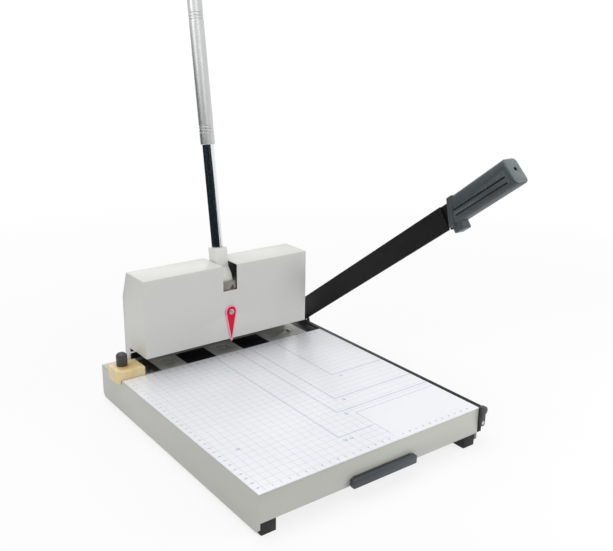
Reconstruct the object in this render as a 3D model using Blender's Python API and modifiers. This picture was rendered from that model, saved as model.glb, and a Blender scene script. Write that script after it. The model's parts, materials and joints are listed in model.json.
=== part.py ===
# Paper cutter with a three-hole punch, modelled as its separate working pieces.
#
# Units are metres, +Z is up, and the front edge of the tray faces -Y.
# Every piece is placed from the tray's front left corner on the table, and the
# empty named machine then moves that corner so that the world origin lies at the
# middle of the whole cutter's footprint.
#
# Run with: blender --background --python part.py

import math

import bmesh
import bpy
from mathutils import Matrix, Vector

# Clearances
GAP = 0.0003                   # between two pieces that touch
OVERRUN = 0.002                # how far a cutter runs past the face it opens
RUNNING = 0.0005               # between a slide and its guide
MERGE = 0.00001
FLAT = math.radians(0.05)      # faces that lie in one plane
SHARP = math.radians(20)       # edges that count as corners

# Steps around a turned piece
FINE_STEPS = 24
ROUND_STEPS = 16
SMALL_STEPS = 8

# Tray of folded sheet, with the printed plate on its front part
TRAY_WIDTH = 0.304
TRAY_DEPTH = 0.3625
TRAY_SHEET = 0.0016
SIDE_PANEL_FOOT = 0.0028       # height of the side panels' lower edge above the table
FRONT_PANEL_FOOT = 0.0148      # height of the front and rear panels' lower edge
PANEL_CORNER = 0.005           # cut corners of the side panels
TRAY_FLANGE = 0.024            # inward flanges that carry the feet
FOLD_RADIUS = 0.0009
PLATE_TOP = 0.047
PLATE_THICKNESS = 0.0008
REAR_DECK_DEPTH = 0.0625       # bare deck behind the plate
DECK_TOP = PLATE_TOP - PLATE_THICKNESS - GAP
DECK_UNDER = DECK_TOP - TRAY_SHEET

# Rubber feet under the flanges
FOOT_SIZE = 0.018
FOOT_INSET_X = 0.003
FOOT_INSET_Y = 0.0009
FOOT_CORNER = 0.0012

# Fixed blade along the tray's right side
BED_BLADE_THICKNESS = 0.0062
BED_BLADE_FOOT = 0.015

# Knife arm, along -Y from its pivot when it is shut
PIVOT_INSET = 0.0085           # from the tray's rear edge
PIVOT_Z = 0.027
ARM_RAISED = math.radians(35.6)
KNIFE_THICKNESS = 0.0026
KNIFE_EDGE = 0.0096            # cutting edge above the pivot
KNIFE_WIDTH = 0.0295
KNIFE_HEEL = 0.020             # where the straight edge starts
KNIFE_TIP_INSET = 0.0005       # behind the tray's front edge when shut
KNIFE_GRIND = 0.0032
ARM_THICKNESS = 0.006
ARM_UNDER = 0.016              # underside of the arm bar above the pivot
ARM_BOSS_RADIUS = 0.014
ARM_BACK_SLOPE = 0.012         # how far in front of the pivot the full width starts
TANG_LOW = 0.0175
TANG_HIGH = 0.0355
TANG_INSET = 0.0435            # from the handle's end
ARM_SCREW_HEIGHT = 0.0275
ARM_SCREW_FIRST = 0.045
ARM_SCREW_LAST_INSET = 0.0185  # from the knife's tip
ARM_SCREW_RADIUS = 0.0022
ARM_SCREW_HEAD_RADIUS = 0.0043
ARM_SCREW_HEAD = 0.0024
ARM_SCREW_SKIN = 0.0009        # knife metal left in front of the blind holes

# Pivot bolt, its washer and the block that it screws into
BOLT_RADIUS = 0.005
BOLT_HEAD_RADIUS = 0.0085
BOLT_HEAD = 0.0065
BOLT_SEAT = 0.003              # block metal left behind the bolt's end
WASHER_RADIUS = 0.0095
WASHER_THICKNESS = 0.0018
PIVOT_BLOCK_WIDTH = 0.0207
PIVOT_BLOCK_DEPTH = 0.0612     # from the tray's rear edge
PIVOT_BLOCK_FOOT = 0.0168
PIVOT_BLOCK_STEP = 0.030       # height where the block spreads over the cut side panel

# Handle on the arm, in lengths from the pivot and heights above it
HANDLE_WIDTH = 0.0215
HANDLE_LENGTH = 0.1105
HANDLE_LOW_START = 0.0112
HANDLE_LOW_END = 0.0125
HANDLE_HIGH_START = 0.0410
HANDLE_HIGH_END = 0.0440
HANDLE_END_SLANT = 0.0050      # the end's upper edge lies this much nearer the pivot
HANDLE_ROUND = 0.005
HANDLE_END_ROUND = 0.0025
COLLAR_GAP = 0.0062            # from the knife's tip
COLLAR_SLANT = 0.0130          # its upper end starts this much later
COLLAR_LENGTH = 0.009
COLLAR_LOW = 0.0102
COLLAR_HIGH = 0.0420
COLLAR_PROUD = 0.0012          # collar wider than the grip on each side
COLLAR_ROUND = 0.0009
LUG_INSET = 0.0012             # from the collar's lower end
LUG_LENGTH = 0.0150
LUG_DEPTH = 0.0077             # below the collar's lower edge
LUG_ROOT = 0.003               # its part inside the handle
LUG_WIDTH = 0.014
HANDLE_SCREW_RADIUS = 0.0014
HANDLE_SCREW_HEAD_RADIUS = 0.0021
HANDLE_SCREW_HEAD = 0.0024
HANDLE_SCREW_DROP = 0.0055     # below the tang's upper edge
HANDLE_SCREW_SINK = 0.016
HANDLE_SCREW_BITE = 0.010      # thread inside the tang

# Safety catch in front of the fixed blade
CATCH_THICKNESS = 0.0044
CATCH_WIDTH = 0.0064
CATCH_FOOT = 0.024
CATCH_TOP = 0.0488
CATCH_PIVOT_HEIGHT = 0.0282
CATCH_LOBE_REACH = 0.0029      # lobe past the blade's right face
CATCH_LOBE_LOW = 0.0375
CATCH_SCREW_RADIUS = 0.0018
CATCH_SCREW_HEAD_RADIUS = 0.0024
CATCH_SCREW_HEAD = 0.0012      # sunk flush, because the shut handle passes close in front
CATCH_SCREW_BITE = 0.012

# Windows in the deck, die bar below them, and the wear pads under the punches
PUNCH_SETBACK = 0.0365         # from the tray's rear edge
WINDOW_BAR = 0.040             # deck metal between the windows
WINDOW_SHIFT = 0.001           # outward of the middle between two punches
WINDOW_FRONT = 0.0010          # behind the plate's rear edge
WINDOW_DEPTH = 0.038
LAND_DROP = 0.0002             # lands of the die bar below the deck's top
DIE_BAR_INSET = 0.007          # from the cover's ends
DIE_BAR_FOOT = 0.028
PAD_RADIUS = 0.007
PAD_DEPTH = 0.008
PAD_CHAMFER = 0.0006

# Bare steel rest beside the margin stop
REST_LEFT = 0.0318
REST_RIGHT = 0.053
REST_DEPTH = 0.045
REST_THICKNESS = 0.001

# Two deck details at the right of the punch
DECK_SCREW_INSET = 0.00525     # from the die bar's right end
DECK_SCREW_FORWARD = 0.004     # in front of the punches
DECK_SCREW_RADIUS = 0.0018
DECK_SCREW_HEAD_RADIUS = 0.0036
DECK_SCREW_HEAD = 0.0018
DECK_SCREW_BITE = 0.010
DECK_NOTCH_WIDTH = 0.007
DECK_NOTCH_DEPTH = 0.0035

# Cover of the punch
COVER_MARGIN = 0.03325         # from the machine's sides to the cover's ends
COVER_DEPTH = 0.062
COVER_INSET = 0.001            # from the tray's rear edge
COVER_TOP = 0.1677
COVER_TOP_DEPTH = 0.048
COVER_SHOULDER = 0.133         # height where the rear wall starts to lean forward
COVER_SHEET = 0.0012
COVER_FOLD = 0.0012
THROAT = 0.020                 # paper gap above the plate
COVER_LEG_DEPTH = 0.013
GUSSET_DEPTH = 0.019           # end wall's lower edge slants down to the leg over this depth
GUSSET_DROP = 0.0095
GUSSET_HOLE_DEPTH = 0.014      # three-cornered hole above the slant
GUSSET_HOLE_HEIGHT = 0.0055
GUSSET_HOLE_DROP = 0.001       # below the lower edge
GUSSET_RIM = 0.0007            # metal between the hole and the leg's front
SLOT_WIDTH = 0.021
SLOT_FOOT = 0.1336
SLOT_REAR_INSET = 0.0095       # from the cover's rear

# Pointer on the cover's front
POINTER_HEAD_HEIGHT = 0.1049
POINTER_TIP_HEIGHT = 0.0640
POINTER_HEAD_RADIUS = 0.0085
POINTER_TIP_RADIUS = 0.0012
POINTER_THICKNESS = 0.001
POINTER_SCREW_RADIUS = 0.0015
POINTER_SCREW_HEAD_RADIUS = 0.0037
POINTER_SCREW_HEAD = 0.0016
POINTER_SCREW_BITE = 0.0018    # past the cover's front, clear of the carriage

# Frame inside the cover
END_PLATE_THICKNESS = 0.006
END_PLATE_INSET = 0.0036       # from the cover's end walls
END_PLATE_FRONT_INSET = 0.0035 # from the cover's front
END_PLATE_TOP = 0.162
END_PLATE_TOP_DEPTH = 0.041
END_PLATE_SHOULDER = 0.134
BACK_PLATE_THICKNESS = 0.0042
BACK_PLATE_TOP = 0.130
BACK_PLATE_FOOT = 0.028
BACK_PLATE_NECK_INSET = 0.027  # part that goes down through the deck, from the cover's ends
GUIDE_PLATE_THICKNESS = 0.005
GUIDE_ROD_RADIUS = 0.004
GUIDE_ROD_TOP = 0.118

# Lever shaft with its pinions
SHAFT_FORWARD = 0.0023         # in front of the punches
SHAFT_Z = 0.137
SHAFT_RADIUS = 0.008
SHAFT_CHAMFER = 0.0008
SHAFT_END_PLAY = 0.0008        # from the cover's end walls
BUSH_WALL = 0.0028
BUSH_FLANGE_RADIUS = 0.0135
BUSH_FLANGE = 0.002
GEAR_MODULE = 0.002
PINION_TEETH = 16
PRESSURE_ANGLE = math.radians(20)
ADDENDUM_SHARE = 0.9           # of the module
DEDENDUM_SHARE = 1.15          # of the module
TOOTH_THINNING = 0.00018       # taken off each flank for backlash
FLANK_STEPS = 2
GEAR_WIDTH = 0.010
RACK_OFFSET = 0.0135           # rack middle outward of a guide rod
LEVER_TRAVEL = math.radians(82)

# Lever, in lengths from the shaft along its own axis
LEVER_LEAN = math.radians(8.15)
SEAT_WIDTH = 0.018
SEAT_NECK_DEPTH = 0.017
SEAT_HUB_RADIUS = 0.017
SEAT_TOP = 0.0483
SEAT_THROAT = 0.022            # where the nose leaves the neck's front
SEAT_NOSE_Y = 0.014
SEAT_NOSE_Z = 0.014
SPIGOT_RADIUS = 0.006
SPIGOT_LENGTH = 0.026
TUBE_RADIUS = 0.0075
TUBE_BORE_RADIUS = 0.0055
TUBE_END = 0.340
GRIP_LENGTH = 0.176
GRIP_PAST_TUBE = 0.017
GRIP_RADIUS = 0.0092
GRIP_CHAMFER = 0.0008
GROOVE_COUNT = 3
GROOVE_PITCH = 0.0038
GROOVE_WIDTH = 0.0016
GROOVE_DEPTH = 0.0005
GROOVE_MARGIN = 0.0155
CAP_PLUG = 0.012
CAP_HEAD = 0.004
CAP_CHAMFER = 0.0014

# Carriage that the pinions drive down
BAR_END_PLAY = 0.0074          # from the end plates
BAR_BEHIND = 0.0125            # behind the punches
BAR_FOOT = 0.097
BAR_HEIGHT = 0.016
RACK_BODY = 0.0032
RACK_FIRST_TOOTH = -1
RACK_LAST_TOOTH = 4
RACK_TOP_MARGIN = 0.0029       # metal above the last tooth's middle
WINDOW_PLATE_WIDTH = 0.030
WINDOW_PLATE_TOP = 0.1455
WINDOW_HOLE = 0.0052
WINDOW_HOLE_OFFSET = 0.0040    # right of the machine's middle

# Punches
PUNCH_INSET = 0.022            # from the bar's ends
PUNCH_CLEARANCE = 0.0004       # tips above the pads at the end of the stroke
PUNCH_TIP_RADIUS = 0.0028
PUNCH_BORE_RADIUS = 0.002
PUNCH_BORE_DEPTH = 0.020
PUNCH_TIP_LENGTH = 0.013
PUNCH_CONE = 0.004
PUNCH_SHANK_RADIUS = 0.0045
PUNCH_STUD_RADIUS = 0.003
PUNCH_STUD_END = 0.0055        # above the bar
NUT_RADIUS = 0.006
NUT_HEIGHT = 0.005

# Return springs round the guide rods
SPRING_WIRE = 0.0016
SPRING_RADIUS = 0.0057         # middle of the wire
SPRING_TURNS = 7
SPRING_POINTS = 8              # in a turn
SPRING_POCKET_RADIUS = 0.0072
SPRING_POCKET_DEPTH = 0.013

# Margin stop at the left edge, its knob, screw and nut plate
STOP_WIDTH = 0.0352
STOP_OVERHANG = 0.0042
STOP_DEPTH = 0.0305
STOP_HEIGHT = 0.011
STOP_LIP_DROP = 0.0055
STOP_ROUND = 0.009
STOP_TRAVEL = 0.028
KNOB_X = 0.0098
KNOB_INSET = 0.0205            # from the stop's front
KNOB_RADIUS = 0.0069
KNOB_HEIGHT = 0.0168
KNOB_DOME = 0.005
DOME_STEPS = 5
KNOB_SCREW_RADIUS = 0.002
NUT_PLATE_WIDTH = 0.014
NUT_PLATE_DEPTH = 0.012
NUT_PLATE_THICKNESS = 0.003

# Flat drawer behind the front panel and its pull
DRAWER_WIDTH = 0.080
DRAWER_LENGTH = 0.150
DRAWER_HEIGHT = 0.0068
DRAWER_SHEET = 0.001
DRAWER_FOOT = 0.0172
DRAWER_PLAY = 0.0006
RAIL_SHEET = 0.0015
RAIL_LIP = 0.006
RAIL_LENGTH = 0.150
RAIL_STRIP = 0.020
PULL_WIDTH = 0.089
PULL_HEIGHT = 0.0102
PULL_FOOT = 0.0144
PULL_DEPTH = 0.0075
PULL_ROUND = 0.0016

# Overlap of two shapes that are joined into one solid
JOIN = 0.001

# Places worked out from the sizes above
MACHINE_WIDTH = TRAY_WIDTH + GAP + BED_BLADE_THICKNESS
MIDDLE_X = MACHINE_WIDTH / 2
PLATE_DEPTH = TRAY_DEPTH - REAR_DECK_DEPTH
PUNCH_Y = TRAY_DEPTH - PUNCH_SETBACK
SHAFT_Y = PUNCH_Y - SHAFT_FORWARD
DECK_SCREW_Y = PUNCH_Y - DECK_SCREW_FORWARD
BAR_REAR = PUNCH_Y + BAR_BEHIND
PIVOT_Y = TRAY_DEPTH - PIVOT_INSET
PIVOT_BLOCK_FRONT = TRAY_DEPTH - PIVOT_BLOCK_DEPTH
KNIFE_LEFT = MACHINE_WIDTH + GAP
KNIFE_RIGHT = KNIFE_LEFT + KNIFE_THICKNESS
ARM_LEFT = KNIFE_RIGHT + GAP
ARM_RIGHT = ARM_LEFT + ARM_THICKNESS
ARM_MIDDLE = (ARM_LEFT + ARM_RIGHT) / 2
KNIFE_TIP = PIVOT_Y - KNIFE_TIP_INSET
ARM_SCREW_LAST = KNIFE_TIP - ARM_SCREW_LAST_INSET
COLLAR_START_LOW = KNIFE_TIP + COLLAR_GAP
COLLAR_START_HIGH = COLLAR_START_LOW + COLLAR_SLANT
LUG_START = COLLAR_START_LOW + LUG_INSET
LUG_END = LUG_START + LUG_LENGTH
HANDLE_END = COLLAR_START_LOW + HANDLE_LENGTH
TANG_END = HANDLE_END - TANG_INSET
WASHER_RIGHT = ARM_RIGHT + GAP + WASHER_THICKNESS
BOLT_RIGHT = WASHER_RIGHT + GAP + BOLT_HEAD
PIVOT_BLOCK_LEFT = TRAY_WIDTH - PIVOT_BLOCK_WIDTH
COVER_WIDTH = MACHINE_WIDTH - 2 * COVER_MARGIN
COVER_LEFT = MIDDLE_X - COVER_WIDTH / 2
COVER_RIGHT = MIDDLE_X + COVER_WIDTH / 2
COVER_REAR = TRAY_DEPTH - COVER_INSET
COVER_FRONT = COVER_REAR - COVER_DEPTH
SLOT_REAR = COVER_REAR - SLOT_REAR_INSET
END_PLATE_FRONT = COVER_FRONT + END_PLATE_FRONT_INSET
COVER_FOOT = PLATE_TOP + THROAT
COVER_TOP_REAR = COVER_FRONT + COVER_TOP_DEPTH
COVER_LEG_FRONT = COVER_REAR - COVER_LEG_DEPTH
BACK_PLATE_NECK = COVER_WIDTH - 2 * BACK_PLATE_NECK_INSET
BACK_PLATE_REAR = COVER_REAR - COVER_SHEET - GAP
BACK_PLATE_FRONT = BACK_PLATE_REAR - BACK_PLATE_THICKNESS
FRAME_REAR = BACK_PLATE_FRONT - GAP
END_LEFT = COVER_LEFT + END_PLATE_INSET
END_RIGHT = COVER_RIGHT - END_PLATE_INSET
BAR_LENGTH = END_RIGHT - END_LEFT - 2 * (END_PLATE_THICKNESS + BAR_END_PLAY)
HOLE_PITCH = BAR_LENGTH / 2 - PUNCH_INSET
GUIDE_ROD_SPREAD = HOLE_PITCH / 2
RACK_SPREAD = GUIDE_ROD_SPREAD + RACK_OFFSET
GUIDE_FOOT = COVER_FOOT + GAP
GUIDE_TOP = GUIDE_FOOT + GUIDE_PLATE_THICKNESS
PITCH_RADIUS = GEAR_MODULE * PINION_TEETH / 2
STROKE = PITCH_RADIUS * LEVER_TRAVEL
PUNCH_TIP = DECK_TOP + PUNCH_CLEARANCE + STROKE
RACK_PITCH_Y = SHAFT_Y - PITCH_RADIUS
RACK_ROOT_Y = RACK_PITCH_Y - GEAR_MODULE * DEDENDUM_SHARE
RACK_TIP_Y = RACK_PITCH_Y + GEAR_MODULE * ADDENDUM_SHARE
RACK_FRONT = RACK_ROOT_Y - RACK_BODY
BAR_FRONT = RACK_ROOT_Y + GAP
BAR_TOP = BAR_FOOT + BAR_HEIGHT
STOP_LEFT = -STOP_OVERHANG
STOP_RIGHT = STOP_LEFT + STOP_WIDTH
STOP_FRONT = PLATE_DEPTH + GAP
KNOB_Y = STOP_FRONT + KNOB_INSET
STOP_FOOT = DECK_TOP + GAP
STOP_TOP = PLATE_TOP + STOP_HEIGHT
DIE_BAR_FRONT = PLATE_DEPTH + WINDOW_FRONT + GAP
DIE_BAR_LENGTH = COVER_WIDTH - 2 * DIE_BAR_INSET
WINDOW_WIDTH = HOLE_PITCH - WINDOW_BAR
WINDOW_OFFSET = HOLE_PITCH / 2 + WINDOW_SHIFT
DECK_SCREW_X = MIDDLE_X + DIE_BAR_LENGTH / 2 - DECK_SCREW_INSET
KNIFE_TOP = KNIFE_EDGE + KNIFE_WIDTH
HANDLE_SCREW_HEIGHT = TANG_HIGH - HANDLE_SCREW_DROP
CATCH_X = MACHINE_WIDTH - BED_BLADE_THICKNESS / 2
GRIP_END = TUBE_END + GRIP_PAST_TUBE
GRIP_START = GRIP_END - GRIP_LENGTH
LEVER_END = GRIP_END + GAP + CAP_HEAD
PUNCH_PLACES = (("left", MIDDLE_X - HOLE_PITCH), ("center", MIDDLE_X), ("right", MIDDLE_X + HOLE_PITCH))
ROD_PLACES = (("left", MIDDLE_X - GUIDE_ROD_SPREAD), ("right", MIDDLE_X + GUIDE_ROD_SPREAD))
RACK_PLACES = (("left", MIDDLE_X - RACK_SPREAD), ("right", MIDDLE_X + RACK_SPREAD))

# Middle of the footprint, from the pieces that reach furthest
FRONT_REACH = (PIVOT_Y - HANDLE_END * math.cos(ARM_RAISED)
               + HANDLE_LOW_END * math.sin(ARM_RAISED))
REAR_REACH = SHAFT_Y + LEVER_END * math.sin(LEVER_LEAN) + GRIP_RADIUS * math.cos(LEVER_LEAN)
RIGHT_REACH = max(BOLT_RIGHT, ARM_MIDDLE + HANDLE_WIDTH / 2 + COLLAR_PROUD)
ORIGIN_X = (STOP_LEFT + RIGHT_REACH) / 2
ORIGIN_Y = (FRONT_REACH + REAR_REACH) / 2


# Scene and materials

for old in list(bpy.data.objects):
    bpy.data.objects.remove(old, do_unlink=True)

parts = bpy.data.collections.new("paper_cutter_with_punch")
cutters = bpy.data.collections.new("cutters")
bpy.context.scene.collection.children.link(parts)
bpy.context.scene.collection.children.link(cutters)


def finish(name, color, roughness, metallic=0.0):
    """A plain Principled material."""
    made = bpy.data.materials.new(name)
    made.use_nodes = True
    shader = made.node_tree.nodes["Principled BSDF"]
    shader.inputs["Base Color"].default_value = (*color, 1.0)
    shader.inputs["Roughness"].default_value = roughness
    shader.inputs["Metallic"].default_value = metallic
    made.diffuse_color = (*color, 1.0)
    return made


PAINT = finish("light_grey_paint", (0.66, 0.66, 0.62), 0.45)
COVER_PAINT = finish("warm_white_paint", (0.75, 0.75, 0.72), 0.42)
PRINT = finish("printed_white", (0.86, 0.87, 0.90), 0.35)
RUBBER = finish("black_rubber", (0.02, 0.02, 0.02), 0.8)
BLACK = finish("black_steel", (0.016, 0.016, 0.018), 0.45, 0.3)
STEEL = finish("bright_steel", (0.62, 0.62, 0.64), 0.28, 1.0)
BARE = finish("bare_steel", (0.34, 0.31, 0.28), 0.5, 0.9)
CHROME = finish("chrome", (0.80, 0.80, 0.82), 0.08, 1.0)
ALUMINIUM = finish("satin_aluminium", (0.68, 0.69, 0.71), 0.42, 1.0)
BRONZE = finish("bearing_bronze", (0.55, 0.38, 0.18), 0.4, 1.0)
SLATE = finish("slate_plastic", (0.10, 0.12, 0.13), 0.5)
CHARCOAL = finish("charcoal_plastic", (0.05, 0.05, 0.05), 0.55)
CREAM = finish("cream_nylon", (0.74, 0.60, 0.34), 0.4)
NYLON = finish("white_nylon", (0.85, 0.85, 0.82), 0.45)
RED = finish("red_plastic", (0.70, 0.01, 0.06), 0.4)


# Building blocks

def empty(name, parent=None, location=(0, 0, 0), tilt=0.0):
    """An empty that carries a body; tilt turns it about X."""
    made = bpy.data.objects.new(name, None)
    made.location = location
    made.rotation_euler = (tilt, 0, 0)
    made.parent = parent
    parts.objects.link(made)
    return made


def piece(name, bm, material, parent, location=(0, 0, 0)):
    """Put a bmesh into the parts collection as one named object."""
    mesh = bpy.data.meshes.new(name)
    bmesh.ops.recalc_face_normals(bm, faces=bm.faces)
    bm.to_mesh(mesh)
    bm.free()
    mesh.materials.append(material)
    made = bpy.data.objects.new(name, mesh)
    made.parent = parent
    made.location = location
    parts.objects.link(made)
    return made


def rounded(made, angle=math.radians(35)):
    """Shade a round piece smooth between its sharp edges."""
    made.data.shade_smooth()
    made.data.set_sharp_from_angle(angle=angle)
    return made


def add_box(bm, low, high):
    """Add a box between two corners and return its corners."""
    low, high = Vector(low), Vector(high)
    size = high - low
    place = Matrix.Translation((low + high) / 2) @ Matrix.Diagonal((*size, 1))
    return bmesh.ops.create_cube(bm, size=1, matrix=place)["verts"]


AXIS_TURNS = {
    "X": Matrix.Rotation(math.pi / 2, 4, "Y"),
    "Y": Matrix.Rotation(-math.pi / 2, 4, "X"),
    "Z": Matrix.Identity(4),
}


def add_rod(bm, axis, start, end, across, radius, steps=ROUND_STEPS, end_radius=None):
    """Add a cylinder or cone along an axis from start to end; across holds its other two places."""
    other = Vector(across)
    if axis == "X":
        middle = Vector(((start + end) / 2, other[0], other[1]))
    elif axis == "Y":
        middle = Vector((other[0], (start + end) / 2, other[1]))
    else:
        middle = Vector((other[0], other[1], (start + end) / 2))
    far = radius if end_radius is None else end_radius
    bmesh.ops.create_cone(bm, cap_ends=True, segments=steps, radius1=radius, radius2=far,
                          depth=end - start, matrix=Matrix.Translation(middle) @ AXIS_TURNS[axis])


def bevel(bm, edges, width, steps=2):
    """Round the given edges."""
    bmesh.ops.bevel(bm, geom=list(edges), offset=width, segments=steps, profile=0.5,
                    affect="EDGES", clamp_overlap=True)


def edges_along(bm, axis):
    """The edges that run along one axis."""
    found = []
    for edge in bm.edges:
        run = edge.verts[1].co - edge.verts[0].co
        if abs(run[axis]) > (1 - MERGE) * run.length:
            found.append(edge)
    return found


def box(name, low, high, material, parent, round_width=0.0, steps=2):
    """A box as a piece, with all its edges rounded if asked."""
    bm = bmesh.new()
    add_box(bm, low, high)
    if round_width:
        bevel(bm, bm.edges, round_width, steps)
    return piece(name, bm, material, parent)


def cutter(name, bm, parent):
    """Keep a bmesh as a hidden cutter."""
    mesh = bpy.data.meshes.new(name)
    bmesh.ops.recalc_face_normals(bm, faces=bm.faces)
    bm.to_mesh(mesh)
    bm.free()
    made = bpy.data.objects.new(name, mesh)
    made.parent = parent
    made.hide_render = True
    made.display_type = "WIRE"
    cutters.objects.link(made)
    return made


def combine(made, tool, operation="DIFFERENCE"):
    """Cut a tool out of a piece, or join it on."""
    modifier = made.modifiers.new(tool.name, "BOOLEAN")
    modifier.operation = operation
    modifier.solver = "EXACT"
    modifier.object = tool
    return made


def cut_box(made, name, low, high):
    bm = bmesh.new()
    add_box(bm, low, high)
    return combine(made, cutter(name, bm, made.parent))


def cut_rods(made, name, rods, steps=ROUND_STEPS):
    """Cut cylinders; each is (axis, start, end, across, radius)."""
    bm = bmesh.new()
    for axis, start, end, across, radius in rods:
        add_rod(bm, axis, start, end, across, radius, steps)
    return combine(made, cutter(name, bm, made.parent))


OUTLINE_TURNS = {
    "X": Matrix(((0, 0, 1, 0), (1, 0, 0, 0), (0, 1, 0, 0), (0, 0, 0, 1))),
    "Y": Matrix(((1, 0, 0, 0), (0, 0, -1, 0), (0, 1, 0, 0), (0, 0, 0, 1))),
    "Z": Matrix.Identity(4),
}


def outline_mesh(name, points, facing, low, high):
    """A flat outline with a thickness from low to high along the axis that it faces."""
    curve = bpy.data.curves.new(name, "CURVE")
    curve.dimensions = "2D"
    curve.fill_mode = "BOTH"
    curve.extrude = (high - low) / 2
    spline = curve.splines.new("POLY")
    spline.points.add(len(points) - 1)
    for point, (across, up) in zip(spline.points, points):
        point.co = (across, up, 0, 1)
    spline.use_cyclic_u = True
    drawn = bpy.data.objects.new(name, curve)
    shift = {"X": ((low + high) / 2, 0, 0), "Y": (0, (low + high) / 2, 0), "Z": (0, 0, (low + high) / 2)}
    drawn.matrix_world = Matrix.Translation(shift[facing]) @ OUTLINE_TURNS[facing]
    parts.objects.link(drawn)
    bpy.context.view_layer.update()
    depsgraph = bpy.context.evaluated_depsgraph_get()
    mesh = bpy.data.meshes.new_from_object(drawn.evaluated_get(depsgraph))
    mesh.transform(drawn.matrix_world)
    bpy.data.objects.remove(drawn, do_unlink=True)
    bm = bmesh.new()
    bm.from_mesh(mesh)
    bmesh.ops.remove_doubles(bm, verts=bm.verts, dist=MERGE)
    bpy.data.meshes.remove(mesh)
    return bm


def merge_flat(bm):
    """Make each flat end one face, so that its rim can be rounded."""
    bmesh.ops.dissolve_limit(bm, angle_limit=FLAT, verts=bm.verts, edges=bm.edges)


def outline(name, points, facing, low, high, material, parent):
    return piece(name, outline_mesh(name, points, facing, low, high), material, parent)


def cut_outline(made, name, points, facing, low, high):
    return combine(made, cutter(name, outline_mesh(name, points, facing, low, high), made.parent))


def arc(middle, radius, start, end, steps):
    """Points on an arc, with angles in degrees from the first axis."""
    points = []
    for step in range(steps + 1):
        angle = math.radians(start + (end - start) * step / steps)
        points.append((middle[0] + radius * math.cos(angle), middle[1] + radius * math.sin(angle)))
    return points


def add_turned(bm, axis, profile, across, steps=SMALL_STEPS):
    """Add a solid spun from a profile of (radius, place along the axis) with both ends on the axis."""
    solid = bmesh.new()
    corners = [solid.verts.new((radius, 0, along)) for radius, along in profile]
    edges = [solid.edges.new(pair) for pair in zip(corners, corners[1:])]
    bmesh.ops.spin(solid, geom=corners + edges, cent=(0, 0, 0), axis=(0, 0, 1), dvec=(0, 0, 0),
                   angle=2 * math.pi, steps=steps, use_merge=True, use_duplicate=False)
    bmesh.ops.remove_doubles(solid, verts=solid.verts, dist=MERGE)
    first, second = across
    start = {"X": (0, first, second), "Y": (first, 0, second), "Z": (first, second, 0)}
    bmesh.ops.transform(solid, matrix=Matrix.Translation(start[axis]) @ AXIS_TURNS[axis], verts=solid.verts)
    mesh = bpy.data.meshes.new("turned")
    solid.to_mesh(mesh)
    solid.free()
    bm.from_mesh(mesh)
    bpy.data.meshes.remove(mesh)


def add_screw(bm, axis, head_start, head_end, tip, across, head_radius, radius):
    """Add a screw: its head from head_start to head_end, its shank on to the tip."""
    profile = [(0, head_start), (head_radius, head_start), (head_radius, head_end),
               (radius, head_end), (radius, tip), (0, tip)]
    add_turned(bm, axis, profile, across)


def turned(name, profile, material, parent, location=(0, 0, 0), steps=FINE_STEPS, ring=False,
           axis="Z"):
    """Turn a profile of (radius, height), which runs down its outer side, about an axis."""
    mesh = bpy.data.meshes.new(name)
    edges = [(index, index + 1) for index in range(len(profile) - 1)]
    if ring:
        edges.append((len(profile) - 1, 0))
    mesh.from_pydata([(radius, 0, height) for radius, height in profile], edges, [])
    mesh.materials.append(material)
    made = bpy.data.objects.new(name, mesh)
    made.parent = parent
    made.location = location
    made.rotation_euler = AXIS_TURNS[axis].to_euler()
    parts.objects.link(made)
    screw = made.modifiers.new("turn", "SCREW")
    screw.steps = steps
    screw.render_steps = steps
    screw.use_merge_vertices = True
    screw.merge_threshold = MERGE
    screw.use_smooth_shade = True
    return made


# Bodies: each moving piece hangs on an empty that lies on its joint's axis

machine = empty("machine", location=(-ORIGIN_X, -ORIGIN_Y, 0))
arm_axis = empty("arm_axis", machine, (0, PIVOT_Y, PIVOT_Z), -ARM_RAISED)
lever_axis = empty("lever_axis", machine, (0, SHAFT_Y, SHAFT_Z))
lever_lean = empty("lever_lean", lever_axis, (0, 0, 0), -LEVER_LEAN)
carriage = empty("carriage", machine)
stop_slide = empty("stop_slide", machine)
knob_axis = empty("knob_axis", stop_slide, (KNOB_X, KNOB_Y, 0))
catch_axis = empty("catch_axis", machine, (CATCH_X, 0, CATCH_PIVOT_HEIGHT))
drawer_slide = empty("drawer_slide", machine)


# Tray

def window_spans():
    """Left and right edge of each window in the deck."""
    spans = []
    for side in (-1, 1):
        middle = MIDDLE_X + side * WINDOW_OFFSET
        spans.append((middle - WINDOW_WIDTH / 2, middle + WINDOW_WIDTH / 2))
    return spans


def foot_corners():
    """Front left corner of each foot, with its name."""
    left = FOOT_INSET_X
    right = TRAY_WIDTH - FOOT_INSET_X - FOOT_SIZE
    front = FOOT_INSET_Y
    rear = TRAY_DEPTH - FOOT_INSET_Y - FOOT_SIZE
    return (("front_left", left, front), ("front_right", right, front),
            ("rear_left", left, rear), ("rear_right", right, rear))


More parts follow.
